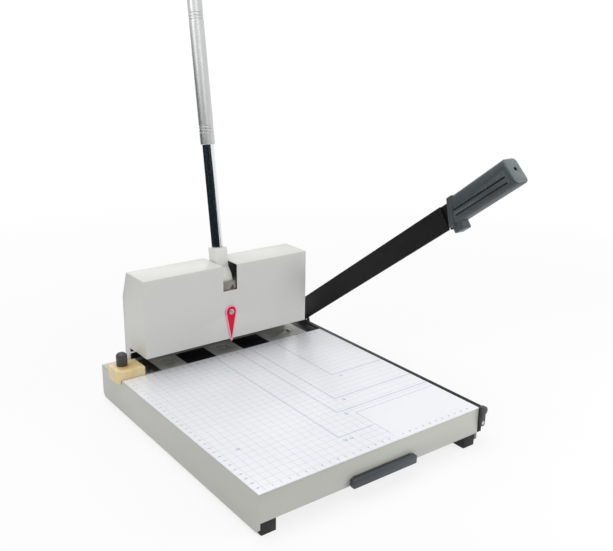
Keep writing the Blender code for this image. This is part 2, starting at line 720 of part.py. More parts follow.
def make_tray():
    bm = bmesh.new()
    add_box(bm, (0, 0, SIDE_PANEL_FOOT), (TRAY_WIDTH, TRAY_DEPTH, DECK_TOP))
    lower = [edge for edge in edges_along(bm, 0) if edge.verts[0].co.z < DECK_UNDER]
    bevel(bm, lower, PANEL_CORNER, 1)
    upper = [edge for edge in bm.edges if min(end.co.z for end in edge.verts) > DECK_UNDER]
    bevel(bm, upper + edges_along(bm, 2), FOLD_RADIUS, 2)
    tray = piece("tray", bm, PAINT, machine)
    inner_left, inner_right = TRAY_SHEET, TRAY_WIDTH - TRAY_SHEET
    flange_top = FRONT_PANEL_FOOT + TRAY_SHEET
    cut_box(tray, "tray_hollow", (inner_left, TRAY_SHEET, flange_top),
            (inner_right, TRAY_DEPTH - TRAY_SHEET, DECK_UNDER))
    cut_box(tray, "tray_mouth", (inner_left, TRAY_FLANGE, FRONT_PANEL_FOOT - OVERRUN),
            (inner_right, TRAY_DEPTH - TRAY_FLANGE, flange_top + OVERRUN))
    cut_box(tray, "tray_kick", (inner_left, -OVERRUN, SIDE_PANEL_FOOT - OVERRUN),
            (inner_right, TRAY_DEPTH + OVERRUN, FRONT_PANEL_FOOT))
    bm = bmesh.new()
    front = PLATE_DEPTH + WINDOW_FRONT
    for left, right in window_spans():
        add_box(bm, (left, front, DECK_UNDER - OVERRUN), (right, front + WINDOW_DEPTH, DECK_TOP + OVERRUN))
    neck_left = MIDDLE_X - BACK_PLATE_NECK / 2 - GAP
    neck_right = MIDDLE_X + BACK_PLATE_NECK / 2 + GAP
    add_box(bm, (neck_left, BACK_PLATE_FRONT - GAP, DECK_UNDER - OVERRUN),
            (neck_right, BACK_PLATE_REAR + GAP, DECK_TOP + OVERRUN))
    add_box(bm, (PIVOT_BLOCK_LEFT - GAP, PIVOT_BLOCK_FRONT - GAP, PIVOT_BLOCK_STEP),
            (TRAY_WIDTH + OVERRUN, TRAY_DEPTH - TRAY_SHEET, DECK_TOP + OVERRUN))
    add_box(bm, (DECK_SCREW_X - DECK_NOTCH_WIDTH / 2, front, DECK_UNDER - OVERRUN),
            (DECK_SCREW_X + DECK_NOTCH_WIDTH / 2, front + DECK_NOTCH_DEPTH, DECK_TOP + OVERRUN))
    slot_half = KNOB_SCREW_RADIUS + RUNNING
    add_box(bm, (KNOB_X - slot_half, KNOB_Y - slot_half, DECK_UNDER - OVERRUN),
            (KNOB_X + slot_half, KNOB_Y + STOP_TRAVEL + slot_half, DECK_TOP + OVERRUN))
    drawer_half = DRAWER_WIDTH / 2 + DRAWER_PLAY
    add_box(bm, (MIDDLE_X - drawer_half, -OVERRUN, DRAWER_FOOT - DRAWER_PLAY),
            (MIDDLE_X + drawer_half, TRAY_SHEET + OVERRUN, DRAWER_FOOT + DRAWER_HEIGHT + DRAWER_PLAY))
    combine(tray, cutter("tray_openings", bm, machine))
    rods = [("X", TRAY_WIDTH - TRAY_SHEET - OVERRUN, TRAY_WIDTH + OVERRUN, (PIVOT_Y, PIVOT_Z),
             BOLT_RADIUS + GAP)]
    for name, x in PUNCH_PLACES:
        rods.append(("Z", DECK_UNDER - OVERRUN, DECK_TOP + OVERRUN, (x, PUNCH_Y), PAD_RADIUS + GAP))
    rods.append(("Z", DECK_UNDER - OVERRUN, DECK_TOP + OVERRUN, (DECK_SCREW_X, DECK_SCREW_Y),
                 DECK_SCREW_RADIUS + GAP))
    cut_rods(tray, "tray_holes", rods)


def make_plate():
    bm = bmesh.new()
    add_box(bm, (0, 0, DECK_TOP + GAP), (TRAY_WIDTH, PLATE_DEPTH, PLATE_TOP))
    piece("printed_plate", bm, PRINT, machine)


def make_feet():
    for name, left, front in foot_corners():
        bm = bmesh.new()
        add_box(bm, (left, front, 0), (left + FOOT_SIZE, front + FOOT_SIZE, FRONT_PANEL_FOOT - GAP))
        bevel(bm, edges_along(bm, 2), FOOT_CORNER, 2)
        piece("foot_" + name, bm, RUBBER, machine)


# Punch bed and frame

def make_die_bar():
    half = DIE_BAR_LENGTH / 2
    bar = box("die_bar", (MIDDLE_X - half, DIE_BAR_FRONT, DIE_BAR_FOOT),
              (MIDDLE_X + half, FRAME_REAR, DECK_UNDER - GAP), BARE, machine)
    for index, (left, right) in enumerate(window_spans()):
        bm = bmesh.new()
        add_box(bm, (left + GAP, DIE_BAR_FRONT, DECK_UNDER - GAP - JOIN),
                (right - GAP, PLATE_DEPTH + WINDOW_FRONT + WINDOW_DEPTH - GAP, DECK_TOP - LAND_DROP))
        combine(bar, cutter("die_land_" + str(index), bm, machine), "UNION")
    foot, top = DECK_TOP - PAD_DEPTH, DECK_UNDER + OVERRUN
    rods = [("Z", foot - GAP, top, (x, PUNCH_Y), PAD_RADIUS + GAP) for name, x in PUNCH_PLACES]
    cut_rods(bar, "pad_seats", rods)
    cut_rods(bar, "deck_screw_thread",
             [("Z", DECK_TOP - DECK_SCREW_BITE - GAP, top, (DECK_SCREW_X, DECK_SCREW_Y),
               DECK_SCREW_RADIUS + GAP)], SMALL_STEPS)
    for name, x in PUNCH_PLACES:
        turned("punch_pad_" + name, [(0, DECK_TOP), (PAD_RADIUS - PAD_CHAMFER, DECK_TOP),
                                     (PAD_RADIUS, DECK_TOP - PAD_CHAMFER), (PAD_RADIUS, foot), (0, foot)],
               CREAM, machine, (x, PUNCH_Y, 0), ROUND_STEPS)


def make_rest_plate():
    foot = DECK_TOP + GAP
    front = PLATE_DEPTH + WINDOW_FRONT
    box("rest_plate", (REST_LEFT, front, foot), (REST_RIGHT, front + REST_DEPTH, foot + REST_THICKNESS),
        BARE, machine)
    bm = bmesh.new()
    add_screw(bm, "Z", foot + DECK_SCREW_HEAD, foot, DECK_TOP - DECK_SCREW_BITE,
              (DECK_SCREW_X, DECK_SCREW_Y), DECK_SCREW_HEAD_RADIUS, DECK_SCREW_RADIUS)
    rounded(piece("deck_screw", bm, STEEL, machine))


def make_back_plate():
    neck = BACK_PLATE_NECK / 2
    foot = DECK_TOP + GAP
    plate = box("back_plate", (END_LEFT, BACK_PLATE_FRONT, foot),
                (END_RIGHT, BACK_PLATE_REAR, BACK_PLATE_TOP), BARE, machine)
    bm = bmesh.new()
    add_box(bm, (MIDDLE_X - neck, BACK_PLATE_FRONT, BACK_PLATE_FOOT),
            (MIDDLE_X + neck, BACK_PLATE_REAR, foot + JOIN))
    combine(plate, cutter("back_plate_neck", bm, machine), "UNION")


def make_end_plates():
    shape = [(END_PLATE_FRONT, GUIDE_FOOT), (END_PLATE_FRONT, END_PLATE_TOP),
             (END_PLATE_FRONT + END_PLATE_TOP_DEPTH, END_PLATE_TOP), (FRAME_REAR, END_PLATE_SHOULDER),
             (FRAME_REAR, GUIDE_FOOT)]
    bush_radius = SHAFT_RADIUS + GAP + BUSH_WALL
    for name, outer, inward in (("left", END_LEFT, 1), ("right", END_RIGHT, -1)):
        inner = outer + inward * END_PLATE_THICKNESS
        low, high = min(outer, inner), max(outer, inner)
        plate = outline("end_plate_" + name, shape, "X", low, high, BARE, machine)
        cut_rods(plate, "bush_seat_" + name, [("X", low - OVERRUN, high + OVERRUN, (SHAFT_Y, SHAFT_Z),
                                               bush_radius + GAP)])
        face = inner + inward * GAP
        bush = turned("shaft_bush_" + name,
                      [(SHAFT_RADIUS + GAP, BUSH_FLANGE), (BUSH_FLANGE_RADIUS, BUSH_FLANGE),
                       (BUSH_FLANGE_RADIUS, 0), (bush_radius, 0), (bush_radius, -END_PLATE_THICKNESS),
                       (SHAFT_RADIUS + GAP, -END_PLATE_THICKNESS)],
                      BRONZE, machine, (face, SHAFT_Y, SHAFT_Z), ROUND_STEPS, ring=True, axis="X")
        if inward < 0:
            bush.rotation_euler.rotate_axis("X", math.pi)


def make_guide_plate():
    low = (END_LEFT + END_PLATE_THICKNESS + GAP, END_PLATE_FRONT, GUIDE_FOOT)
    high = (END_RIGHT - END_PLATE_THICKNESS - GAP, FRAME_REAR, GUIDE_TOP)
    plate = box("guide_plate", low, high, BARE, machine)
    foot, top = GUIDE_FOOT - OVERRUN, GUIDE_TOP + OVERRUN
    rods = [("Z", foot, top, (x, PUNCH_Y), PUNCH_SHANK_RADIUS + GAP) for name, x in PUNCH_PLACES]
    rods += [("Z", foot, top, (x, PUNCH_Y), GUIDE_ROD_RADIUS + GAP) for name, x in ROD_PLACES]
    cut_rods(plate, "guide_bores", rods)
    for name, x in ROD_PLACES:
        bm = bmesh.new()
        add_rod(bm, "Z", GUIDE_FOOT + GAP, GUIDE_ROD_TOP, (x, PUNCH_Y), GUIDE_ROD_RADIUS)
        rounded(piece("guide_rod_" + name, bm, STEEL, machine))


def make_springs():
    foot = GUIDE_TOP + GAP + SPRING_WIRE / 2
    top = BAR_FOOT + SPRING_POCKET_DEPTH - GAP - SPRING_WIRE / 2
    count = SPRING_TURNS * SPRING_POINTS
    for name, x in ROD_PLACES:
        curve = bpy.data.curves.new("return_spring_" + name, "CURVE")
        curve.dimensions = "3D"
        curve.bevel_depth = SPRING_WIRE / 2
        curve.bevel_resolution = 1
        curve.use_fill_caps = True
        spline = curve.splines.new("POLY")
        spline.points.add(count)
        places = []
        for index in range(count + 1):
            angle = 2 * math.pi * index / SPRING_POINTS
            places.append(Vector((x + SPRING_RADIUS * math.cos(angle),
                                  PUNCH_Y + SPRING_RADIUS * math.sin(angle),
                                  foot + (top - foot) * index / count)))
        for point, place in zip(spline.points, places):
            point.co = (*place, 1)
        curve.materials.append(STEEL)
        spring = bpy.data.objects.new("return_spring_" + name, curve)
        spring.parent = machine
        parts.objects.link(spring)
        apart = min((places[first] - places[second]).length for first in range(count + 1)
                    for second in range(first + SPRING_POINTS // 2, count + 1)) - SPRING_WIRE
        print("return_spring_" + name, "least gap to itself", round(apart, 5))


# Cover and pointer

def make_cover():
    run = COVER_REAR - COVER_TOP_REAR
    drop = COVER_TOP - COVER_SHOULDER
    foot = DECK_TOP + GAP
    slant_foot = COVER_FOOT - GUSSET_DROP
    shape = [(COVER_FRONT, COVER_FOOT), (COVER_FRONT, COVER_TOP), (COVER_TOP_REAR, COVER_TOP),
             (COVER_REAR, COVER_SHOULDER), (COVER_REAR, foot), (COVER_LEG_FRONT, foot),
             (COVER_LEG_FRONT, slant_foot),
             (COVER_LEG_FRONT - GUSSET_DEPTH, COVER_FOOT)]
    bm = outline_mesh("cover", shape, "X", COVER_LEFT, COVER_RIGHT)
    merge_flat(bm)
    folds = [edge for edge in bm.edges
             if min(end.co.z for end in edge.verts) > COVER_FOOT + JOIN or
             (abs(edge.verts[0].co.x - edge.verts[1].co.x) < JOIN
              and abs(edge.verts[0].co.y - edge.verts[1].co.y) < JOIN
              and min(end.co.y for end in edge.verts) < COVER_FRONT + JOIN)]
    bevel(bm, folds, COVER_FOLD, 2)
    cover = piece("punch_cover", bm, COVER_PAINT, machine)
    # The inner profile lies one sheet inside the outer one, also along the leaning part
    shift = COVER_SHEET * math.hypot(run, drop) / drop
    inner_top = COVER_TOP - COVER_SHEET
    inner_rear = COVER_REAR - COVER_SHEET
    top_rear = COVER_TOP_REAR + (COVER_TOP - inner_top) * run / drop - shift
    shoulder = COVER_TOP - (inner_rear + shift - COVER_TOP_REAR) * drop / run
    hollow = [(COVER_FRONT + COVER_SHEET, foot - OVERRUN), (COVER_FRONT + COVER_SHEET, inner_top),
              (top_rear, inner_top), (inner_rear, shoulder), (inner_rear, foot - OVERRUN)]
    cut_outline(cover, "cover_hollow", hollow, "X", COVER_LEFT + COVER_SHEET, COVER_RIGHT - COVER_SHEET)
    rear = COVER_LEG_FRONT - GUSSET_RIM
    high = COVER_FOOT - GUSSET_HOLE_DROP
    gusset = [(rear - GUSSET_HOLE_DEPTH, high), (rear, high), (rear, high - GUSSET_HOLE_HEIGHT)]
    cut_outline(cover, "cover_gussets", gusset, "X", COVER_LEFT - OVERRUN, COVER_RIGHT + OVERRUN)
    cut_box(cover, "lever_slot", (MIDDLE_X - SLOT_WIDTH / 2, COVER_FRONT - OVERRUN, SLOT_FOOT),
            (MIDDLE_X + SLOT_WIDTH / 2, SLOT_REAR, COVER_TOP + OVERRUN))
    cut_rods(cover, "pointer_screw_hole", [("Y", COVER_FRONT - OVERRUN, COVER_FRONT + COVER_SHEET + GAP,
                                            (MIDDLE_X, POINTER_HEAD_HEIGHT), POINTER_SCREW_RADIUS + GAP)],
             SMALL_STEPS)


def make_pointer():
    fall = POINTER_HEAD_HEIGHT - POINTER_TIP_HEIGHT - POINTER_TIP_RADIUS
    lean = math.degrees(math.asin((POINTER_HEAD_RADIUS - POINTER_TIP_RADIUS) / fall))
    tip = (MIDDLE_X, POINTER_TIP_HEIGHT + POINTER_TIP_RADIUS)
    shape = arc((MIDDLE_X, POINTER_HEAD_HEIGHT), POINTER_HEAD_RADIUS, -lean, 180 + lean, 14)
    shape += arc(tip, POINTER_TIP_RADIUS, 180 + lean, 360 - lean, 4)
    rear = COVER_FRONT - GAP
    front = rear - POINTER_THICKNESS
    pointer = outline("pointer", shape, "Y", front, rear, RED, machine)
    place = (MIDDLE_X, POINTER_HEAD_HEIGHT)
    cut_rods(pointer, "pointer_bore",
             [("Y", front - OVERRUN, rear + OVERRUN, place, POINTER_SCREW_RADIUS + GAP)],
             SMALL_STEPS)
    bm = bmesh.new()
    head = front - GAP
    add_screw(bm, "Y", head - POINTER_SCREW_HEAD, head, COVER_FRONT + POINTER_SCREW_BITE, place,
              POINTER_SCREW_HEAD_RADIUS, POINTER_SCREW_RADIUS)
    rounded(piece("pointer_screw", bm, STEEL, machine))


# Fixed blade, pivot block and bolt

def make_fixed_blade():
    blade = box("fixed_blade", (TRAY_WIDTH + GAP, 0, BED_BLADE_FOOT),
                (MACHINE_WIDTH, TRAY_DEPTH, PLATE_TOP),
                BLACK, machine)
    cut_rods(blade, "blade_bores", [
        ("X", TRAY_WIDTH - OVERRUN, MACHINE_WIDTH + OVERRUN, (PIVOT_Y, PIVOT_Z), BOLT_RADIUS + GAP),
        ("Y", -OVERRUN, CATCH_SCREW_BITE + GAP, (CATCH_X, CATCH_PIVOT_HEIGHT), CATCH_SCREW_RADIUS + GAP),
    ], ROUND_STEPS)


def make_pivot():
    rear = TRAY_DEPTH - TRAY_SHEET - GAP
    inner = TRAY_WIDTH - TRAY_SHEET - GAP
    step = PIVOT_BLOCK_STEP + GAP
    top = DECK_TOP - LAND_DROP
    shape = [(PIVOT_BLOCK_LEFT, PIVOT_BLOCK_FOOT), (inner, PIVOT_BLOCK_FOOT), (inner, step),
             (TRAY_WIDTH, step),
             (TRAY_WIDTH, top), (PIVOT_BLOCK_LEFT, top)]
    block = outline("pivot_block", shape, "Y", PIVOT_BLOCK_FRONT, rear, BLACK, machine)
    end = PIVOT_BLOCK_LEFT + BOLT_SEAT
    cut_rods(block, "pivot_bore", [("X", end, TRAY_WIDTH + OVERRUN, (PIVOT_Y, PIVOT_Z), BOLT_RADIUS + GAP)])
    head = WASHER_RIGHT + GAP
    bm = bmesh.new()
    add_rod(bm, "X", head, head + BOLT_HEAD, (PIVOT_Y, PIVOT_Z), BOLT_HEAD_RADIUS, 6)
    bolt = piece("pivot_bolt", bm, STEEL, machine)
    bm = bmesh.new()
    add_rod(bm, "X", end + GAP, head + JOIN, (PIVOT_Y, PIVOT_Z), BOLT_RADIUS)
    combine(bolt, cutter("bolt_shank", bm, machine), "UNION")
    bore = BOLT_RADIUS + GAP
    turned("pivot_washer",
           [(bore, WASHER_THICKNESS), (WASHER_RADIUS, WASHER_THICKNESS), (WASHER_RADIUS, 0), (bore, 0)],
           STEEL, machine, (ARM_RIGHT + GAP, PIVOT_Y, PIVOT_Z), ROUND_STEPS, ring=True, axis="X")


# Knife arm; in its own frame the shut arm points along -Y

def slant(height):
    """Length at which the collar's slanted front face lies, at a height above the pivot."""
    rise = (height - COLLAR_LOW) / (COLLAR_HIGH - COLLAR_LOW)
    return COLLAR_START_LOW + rise * (COLLAR_START_HIGH - COLLAR_START_LOW)


def arm_boss():
    return arc((0, 0), ARM_BOSS_RADIUS, 60, -160, 12)


def arm_screw_places():
    return (("front", (-ARM_SCREW_LAST, ARM_SCREW_HEIGHT)), ("rear", (-ARM_SCREW_FIRST, ARM_SCREW_HEIGHT)))


def make_knife():
    shape = [(-KNIFE_HEEL, KNIFE_EDGE), (-KNIFE_TIP, KNIFE_EDGE), (-KNIFE_TIP, KNIFE_TOP),
             (-ARM_BACK_SLOPE, KNIFE_TOP)] + arm_boss()
    knife = outline("knife", shape, "X", KNIFE_LEFT, KNIFE_RIGHT, BLACK, arm_axis)
    right = KNIFE_RIGHT + OVERRUN
    grind = [(KNIFE_LEFT + KNIFE_THICKNESS / 2, KNIFE_EDGE - JOIN), (right, KNIFE_EDGE - JOIN),
             (right, KNIFE_EDGE + KNIFE_GRIND), (KNIFE_RIGHT, KNIFE_EDGE + KNIFE_GRIND)]
    cut_outline(knife, "knife_grind", grind, "Y", -KNIFE_TIP - OVERRUN, -KNIFE_HEEL)
    skin = KNIFE_LEFT + ARM_SCREW_SKIN
    rods = [("X", skin, right, place, ARM_SCREW_RADIUS + GAP) for name, place in arm_screw_places()]
    rods.append(("X", KNIFE_LEFT - OVERRUN, right, (0, 0), BOLT_RADIUS + GAP))
    cut_rods(knife, "knife_bores", rods)
    head = ARM_RIGHT + GAP
    for name, place in arm_screw_places():
        bm = bmesh.new()
        add_screw(bm, "X", head + ARM_SCREW_HEAD, head, skin + GAP, place, ARM_SCREW_HEAD_RADIUS,
                  ARM_SCREW_RADIUS)
        rounded(piece("knife_screw_" + name, bm, STEEL, arm_axis))


def make_arm_bar():
    tip = KNIFE_TIP + GAP
    shape = [(-KNIFE_HEEL, ARM_UNDER), (-tip, ARM_UNDER), (-tip, KNIFE_EDGE)]
    for height in (KNIFE_EDGE, TANG_LOW):
        shape.append((-slant(height) + RUNNING, height))
    shape += [(-TANG_END, TANG_LOW), (-TANG_END, TANG_HIGH)]
    for height in (TANG_HIGH, KNIFE_TOP):
        shape.append((-slant(height) + RUNNING, height))
    shape += [(-ARM_BACK_SLOPE, KNIFE_TOP)] + arm_boss()
    bar = outline("arm_bar", shape, "X", ARM_LEFT, ARM_RIGHT, BLACK, arm_axis)
    left, right = ARM_LEFT - OVERRUN, ARM_RIGHT + OVERRUN
    rods = [("X", left, right, place, ARM_SCREW_RADIUS + GAP) for name, place in arm_screw_places()]
    rods.append(("X", left, right, (0, 0), BOLT_RADIUS + GAP))
    rods.append(("Y", -TANG_END - OVERRUN, -TANG_END + HANDLE_SCREW_BITE + GAP,
                 (ARM_MIDDLE, HANDLE_SCREW_HEIGHT),
                 HANDLE_SCREW_RADIUS + GAP))
    cut_rods(bar, "arm_bores", rods)


def make_handle():
    left, right = ARM_MIDDLE - HANDLE_WIDTH / 2, ARM_MIDDLE + HANDLE_WIDTH / 2
    inset = COLLAR_LENGTH / 2
    start = -COLLAR_START_LOW + COLLAR_SLANT
    shape = [(start, HANDLE_LOW_START), (start, HANDLE_HIGH_START),
             (-HANDLE_END + HANDLE_END_SLANT, HANDLE_HIGH_END), (-HANDLE_END, HANDLE_LOW_END)]
    bm = outline_mesh("handle", shape, "X", left, right)
    merge_flat(bm)
    bmesh.ops.recalc_face_normals(bm, faces=bm.faces)
    sharp = [edge for edge in bm.edges if edge.calc_face_angle(0) > SHARP]
    bevel(bm, [edge for edge in sharp if edge.calc_length() > HANDLE_LENGTH / 2], HANDLE_ROUND, 3)
    end = min(bm.faces, key=lambda face: face.calc_center_median().y)
    bevel(bm, end.edges, HANDLE_END_ROUND, 2)
    handle = piece("arm_handle", bm, SLATE, arm_axis)
    low, high = COLLAR_LOW - OVERRUN, COLLAR_HIGH + OVERRUN
    waste = [(start + OVERRUN, low), (start + OVERRUN, high), (-slant(high) - inset, high),
             (-slant(low) - inset, low)]
    bm = outline_mesh("handle_trim", waste, "X", left - OVERRUN, right + OVERRUN)
    combine(handle, cutter("handle_trim", bm, arm_axis))
    collar = [(-COLLAR_START_LOW, COLLAR_LOW), (-COLLAR_START_HIGH, COLLAR_HIGH),
              (-COLLAR_START_HIGH - COLLAR_LENGTH, COLLAR_HIGH),
              (-COLLAR_START_LOW - COLLAR_LENGTH, COLLAR_LOW)]
    bm = outline_mesh("collar", collar, "X", left - COLLAR_PROUD, right + COLLAR_PROUD)
    merge_flat(bm)
    bevel(bm, bm.edges, COLLAR_ROUND, 1)
    combine(handle, cutter("handle_collar", bm, arm_axis), "UNION")
    bm = bmesh.new()
    add_box(bm, (ARM_MIDDLE - LUG_WIDTH / 2, -LUG_END, COLLAR_LOW - LUG_DEPTH),
            (ARM_MIDDLE + LUG_WIDTH / 2, -LUG_START, COLLAR_LOW + LUG_ROOT))
    bevel(bm, bm.edges, COLLAR_ROUND, 1)
    combine(handle, cutter("handle_lug", bm, arm_axis), "UNION")
    cut_box(handle, "tang_slot", (ARM_LEFT - GAP, -TANG_END - GAP, TANG_LOW - GAP),
            (ARM_RIGHT + GAP, -COLLAR_START_LOW + OVERRUN, TANG_HIGH + GAP))
    pocket = -HANDLE_END + HANDLE_SCREW_SINK
    place = (ARM_MIDDLE, HANDLE_SCREW_HEIGHT)
    cut_rods(handle, "handle_bore",
             [("Y", pocket - OVERRUN, -TANG_END + OVERRUN, place, HANDLE_SCREW_RADIUS + GAP)],
             SMALL_STEPS)
    cut_rods(handle, "handle_pocket",
             [("Y", -HANDLE_END - OVERRUN, pocket, place, HANDLE_SCREW_HEAD_RADIUS + GAP)],
             SMALL_STEPS)
    bm = bmesh.new()
    head = pocket - GAP
    add_screw(bm, "Y", head - HANDLE_SCREW_HEAD, head, -TANG_END + HANDLE_SCREW_BITE, place,
              HANDLE_SCREW_HEAD_RADIUS, HANDLE_SCREW_RADIUS)
    rounded(piece("handle_screw", bm, STEEL, arm_axis))


# Safety catch, in its own frame about its screw

def make_catch():
    half = CATCH_WIDTH / 2
    low = CATCH_FOOT - CATCH_PIVOT_HEIGHT + half
    top = CATCH_TOP - CATCH_PIVOT_HEIGHT
    lobe_low = CATCH_LOBE_LOW - CATCH_PIVOT_HEIGHT
    lobe_radius = (top - lobe_low) / 2
    lobe_x = BED_BLADE_THICKNESS / 2 + CATCH_LOBE_REACH - lobe_radius
    shape = arc((0, low), half, 180, 360, 8)
    shape += arc((lobe_x, (top + lobe_low) / 2), lobe_radius,
                 -math.degrees(math.acos((half - lobe_x) / lobe_radius)),
                 90, 9)
    shape.append((-half, top))
    front = -GAP - CATCH_THICKNESS
    catch = outline("safety_catch", shape, "Y", front, -GAP, CHARCOAL, catch_axis)
    cut_rods(catch, "catch_bore", [("Y", front - OVERRUN, OVERRUN, (0, 0), CATCH_SCREW_RADIUS + GAP)],
             SMALL_STEPS)
    cut_rods(catch, "catch_pocket", [("Y", front - OVERRUN, front + CATCH_SCREW_HEAD + GAP, (0, 0),
                                      CATCH_SCREW_HEAD_RADIUS + GAP)], SMALL_STEPS)
    bm = bmesh.new()
    add_screw(bm, "Y", front, front + CATCH_SCREW_HEAD, CATCH_SCREW_BITE, (CATCH_X, CATCH_PIVOT_HEIGHT),
              CATCH_SCREW_HEAD_RADIUS, CATCH_SCREW_RADIUS)
    rounded(piece("catch_screw", bm, STEEL, machine))


# Lever, its shaft and pinions; the lever leans back in its own frame

def make_lever():
    neck = SEAT_NECK_DEPTH / 2
    nose_reach = math.hypot(SEAT_NOSE_Y, SEAT_NOSE_Z)
    nose_angle = math.degrees(math.atan2(SEAT_NOSE_Z, -SEAT_NOSE_Y))
    front = nose_angle + math.degrees(math.acos(SEAT_HUB_RADIUS / nose_reach))
    rear = 360 + math.degrees(math.acos(neck / SEAT_HUB_RADIUS))
    shape = [(neck, SEAT_TOP), (-neck, SEAT_TOP), (-neck, SEAT_THROAT), (-SEAT_NOSE_Y, SEAT_NOSE_Z)]
    shape += arc((0, 0), SEAT_HUB_RADIUS, front, rear, 16)
    left, right = MIDDLE_X - SEAT_WIDTH / 2, MIDDLE_X + SEAT_WIDTH / 2
    seat = outline("lever_seat", shape, "X", left, right, NYLON, lever_lean)
    cut_rods(seat, "seat_shaft_bore", [("X", left - OVERRUN, right + OVERRUN, (0, 0), SHAFT_RADIUS + GAP)])
    spigot_foot = SEAT_TOP - SPIGOT_LENGTH
    cut_rods(seat, "seat_tube_bore", [("Z", spigot_foot - GAP, SEAT_TOP + OVERRUN, (MIDDLE_X, 0),
                                       SPIGOT_RADIUS + GAP)])
    end = SHAFT_END_PLAY + COVER_SHEET
    length = COVER_WIDTH - 2 * end
    turned("lever_shaft",
           [(0, length), (SHAFT_RADIUS - SHAFT_CHAMFER, length), (SHAFT_RADIUS, length - SHAFT_CHAMFER),
            (SHAFT_RADIUS, SHAFT_CHAMFER), (SHAFT_RADIUS - SHAFT_CHAMFER, 0), (0, 0)],
           STEEL, lever_axis, (COVER_LEFT + end, 0, 0), ROUND_STEPS, axis="X")
    shoulder = SEAT_TOP + GAP
    place = (MIDDLE_X, 0, 0)
    turned("lever_tube", [(0, shoulder), (TUBE_BORE_RADIUS, shoulder), (TUBE_BORE_RADIUS, TUBE_END),
                          (TUBE_RADIUS, TUBE_END), (TUBE_RADIUS, shoulder), (SPIGOT_RADIUS, shoulder),
                          (SPIGOT_RADIUS, spigot_foot), (0, spigot_foot)], CHROME, lever_lean, place)
    bore = TUBE_RADIUS + GAP
    side = [(bore, GRIP_END), (GRIP_RADIUS - GRIP_CHAMFER, GRIP_END),
            (GRIP_RADIUS, GRIP_END - GRIP_CHAMFER)]
    for first in (GRIP_END - GROOVE_MARGIN, GRIP_START + GROOVE_MARGIN + (GROOVE_COUNT - 1) * GROOVE_PITCH):
        for index in range(GROOVE_COUNT):
            middle = first - index * GROOVE_PITCH
            side += [(GRIP_RADIUS, middle + GROOVE_WIDTH / 2), (GRIP_RADIUS - GROOVE_DEPTH, middle),
                     (GRIP_RADIUS, middle - GROOVE_WIDTH / 2)]
    side += [(GRIP_RADIUS, GRIP_START + GRIP_CHAMFER), (GRIP_RADIUS - GRIP_CHAMFER, GRIP_START),
             (bore, GRIP_START)]
    turned("lever_grip", side, ALUMINIUM, lever_lean, place, ring=True)
    plug = TUBE_BORE_RADIUS - GAP
    turned("grip_cap",
           [(0, LEVER_END), (GRIP_RADIUS - CAP_CHAMFER, LEVER_END), (GRIP_RADIUS, LEVER_END - CAP_CHAMFER),
            (GRIP_RADIUS, GRIP_END + GAP), (TUBE_RADIUS, GRIP_END + GAP), (TUBE_RADIUS, TUBE_END + GAP),
            (plug, TUBE_END + GAP), (plug, TUBE_END - CAP_PLUG), (0, TUBE_END - CAP_PLUG)],
           CHARCOAL, lever_lean, place)


def involute(angle):
    return math.tan(angle) - angle


def pinion_outline():
    """Involute teeth in (y, z) about the shaft, with a gap facing -Y."""
    tip = PITCH_RADIUS + GEAR_MODULE * ADDENDUM_SHARE
    root = PITCH_RADIUS - GEAR_MODULE * DEDENDUM_SHARE
    base = PITCH_RADIUS * math.cos(PRESSURE_ANGLE)
    at_pitch = math.pi / (2 * PINION_TEETH) - TOOTH_THINNING / PITCH_RADIUS
    flank = []
    for step in range(FLANK_STEPS + 1):
        radius = base + (tip - base) * step / FLANK_STEPS
        half = at_pitch + involute(PRESSURE_ANGLE) - involute(math.acos(base / radius))
        flank.append((radius, half))
    flank.insert(0, (root, flank[0][1]))
    shape = []
    for tooth in range(PINION_TEETH):
        middle = math.pi + 2 * math.pi * (tooth + 0.5) / PINION_TEETH
        turns = [(radius, middle - half) for radius, half in flank]
        turns += [(radius, middle + half) for radius, half in reversed(flank)]
        shape += [(radius * math.cos(turn), radius * math.sin(turn)) for radius, turn in turns]
    return shape


def rack_outline():
    """Straight teeth in (y, z) on the rack's rear, one of them level with the shaft."""
    slope = math.tan(PRESSURE_ANGLE)
    half = GEAR_MODULE * math.pi / 4 - TOOTH_THINNING
    tip_half = half - (RACK_TIP_Y - RACK_PITCH_Y) * slope
    root_half = half + (RACK_PITCH_Y - RACK_ROOT_Y) * slope
    pitch = GEAR_MODULE * math.pi
    shape = [(RACK_FRONT, BAR_FOOT), (RACK_ROOT_Y, BAR_FOOT)]
    for tooth in range(RACK_FIRST_TOOTH, RACK_LAST_TOOTH + 1):
        middle = SHAFT_Z + tooth * pitch
        shape += [(RACK_ROOT_Y, middle - root_half), (RACK_TIP_Y, middle - tip_half),
                  (RACK_TIP_Y, middle + tip_half), (RACK_ROOT_Y, middle + root_half)]
    top = SHAFT_Z + RACK_LAST_TOOTH * pitch + RACK_TOP_MARGIN
    return shape + [(RACK_ROOT_Y, top), (RACK_FRONT, top)]


def make_gears():
    half = GEAR_WIDTH / 2
    for name, x in RACK_PLACES:
        pinion = outline("pinion_" + name, pinion_outline(), "X", x - half, x + half, STEEL, lever_axis)
        cut_rods(pinion, "pinion_bore_" + name, [("X", x - half - OVERRUN, x + half + OVERRUN, (0, 0),
                                                  SHAFT_RADIUS + GAP)])
        outline("rack_" + name, rack_outline(), "X", x - half, x + half, BARE, carriage)


# Carriage with the punches

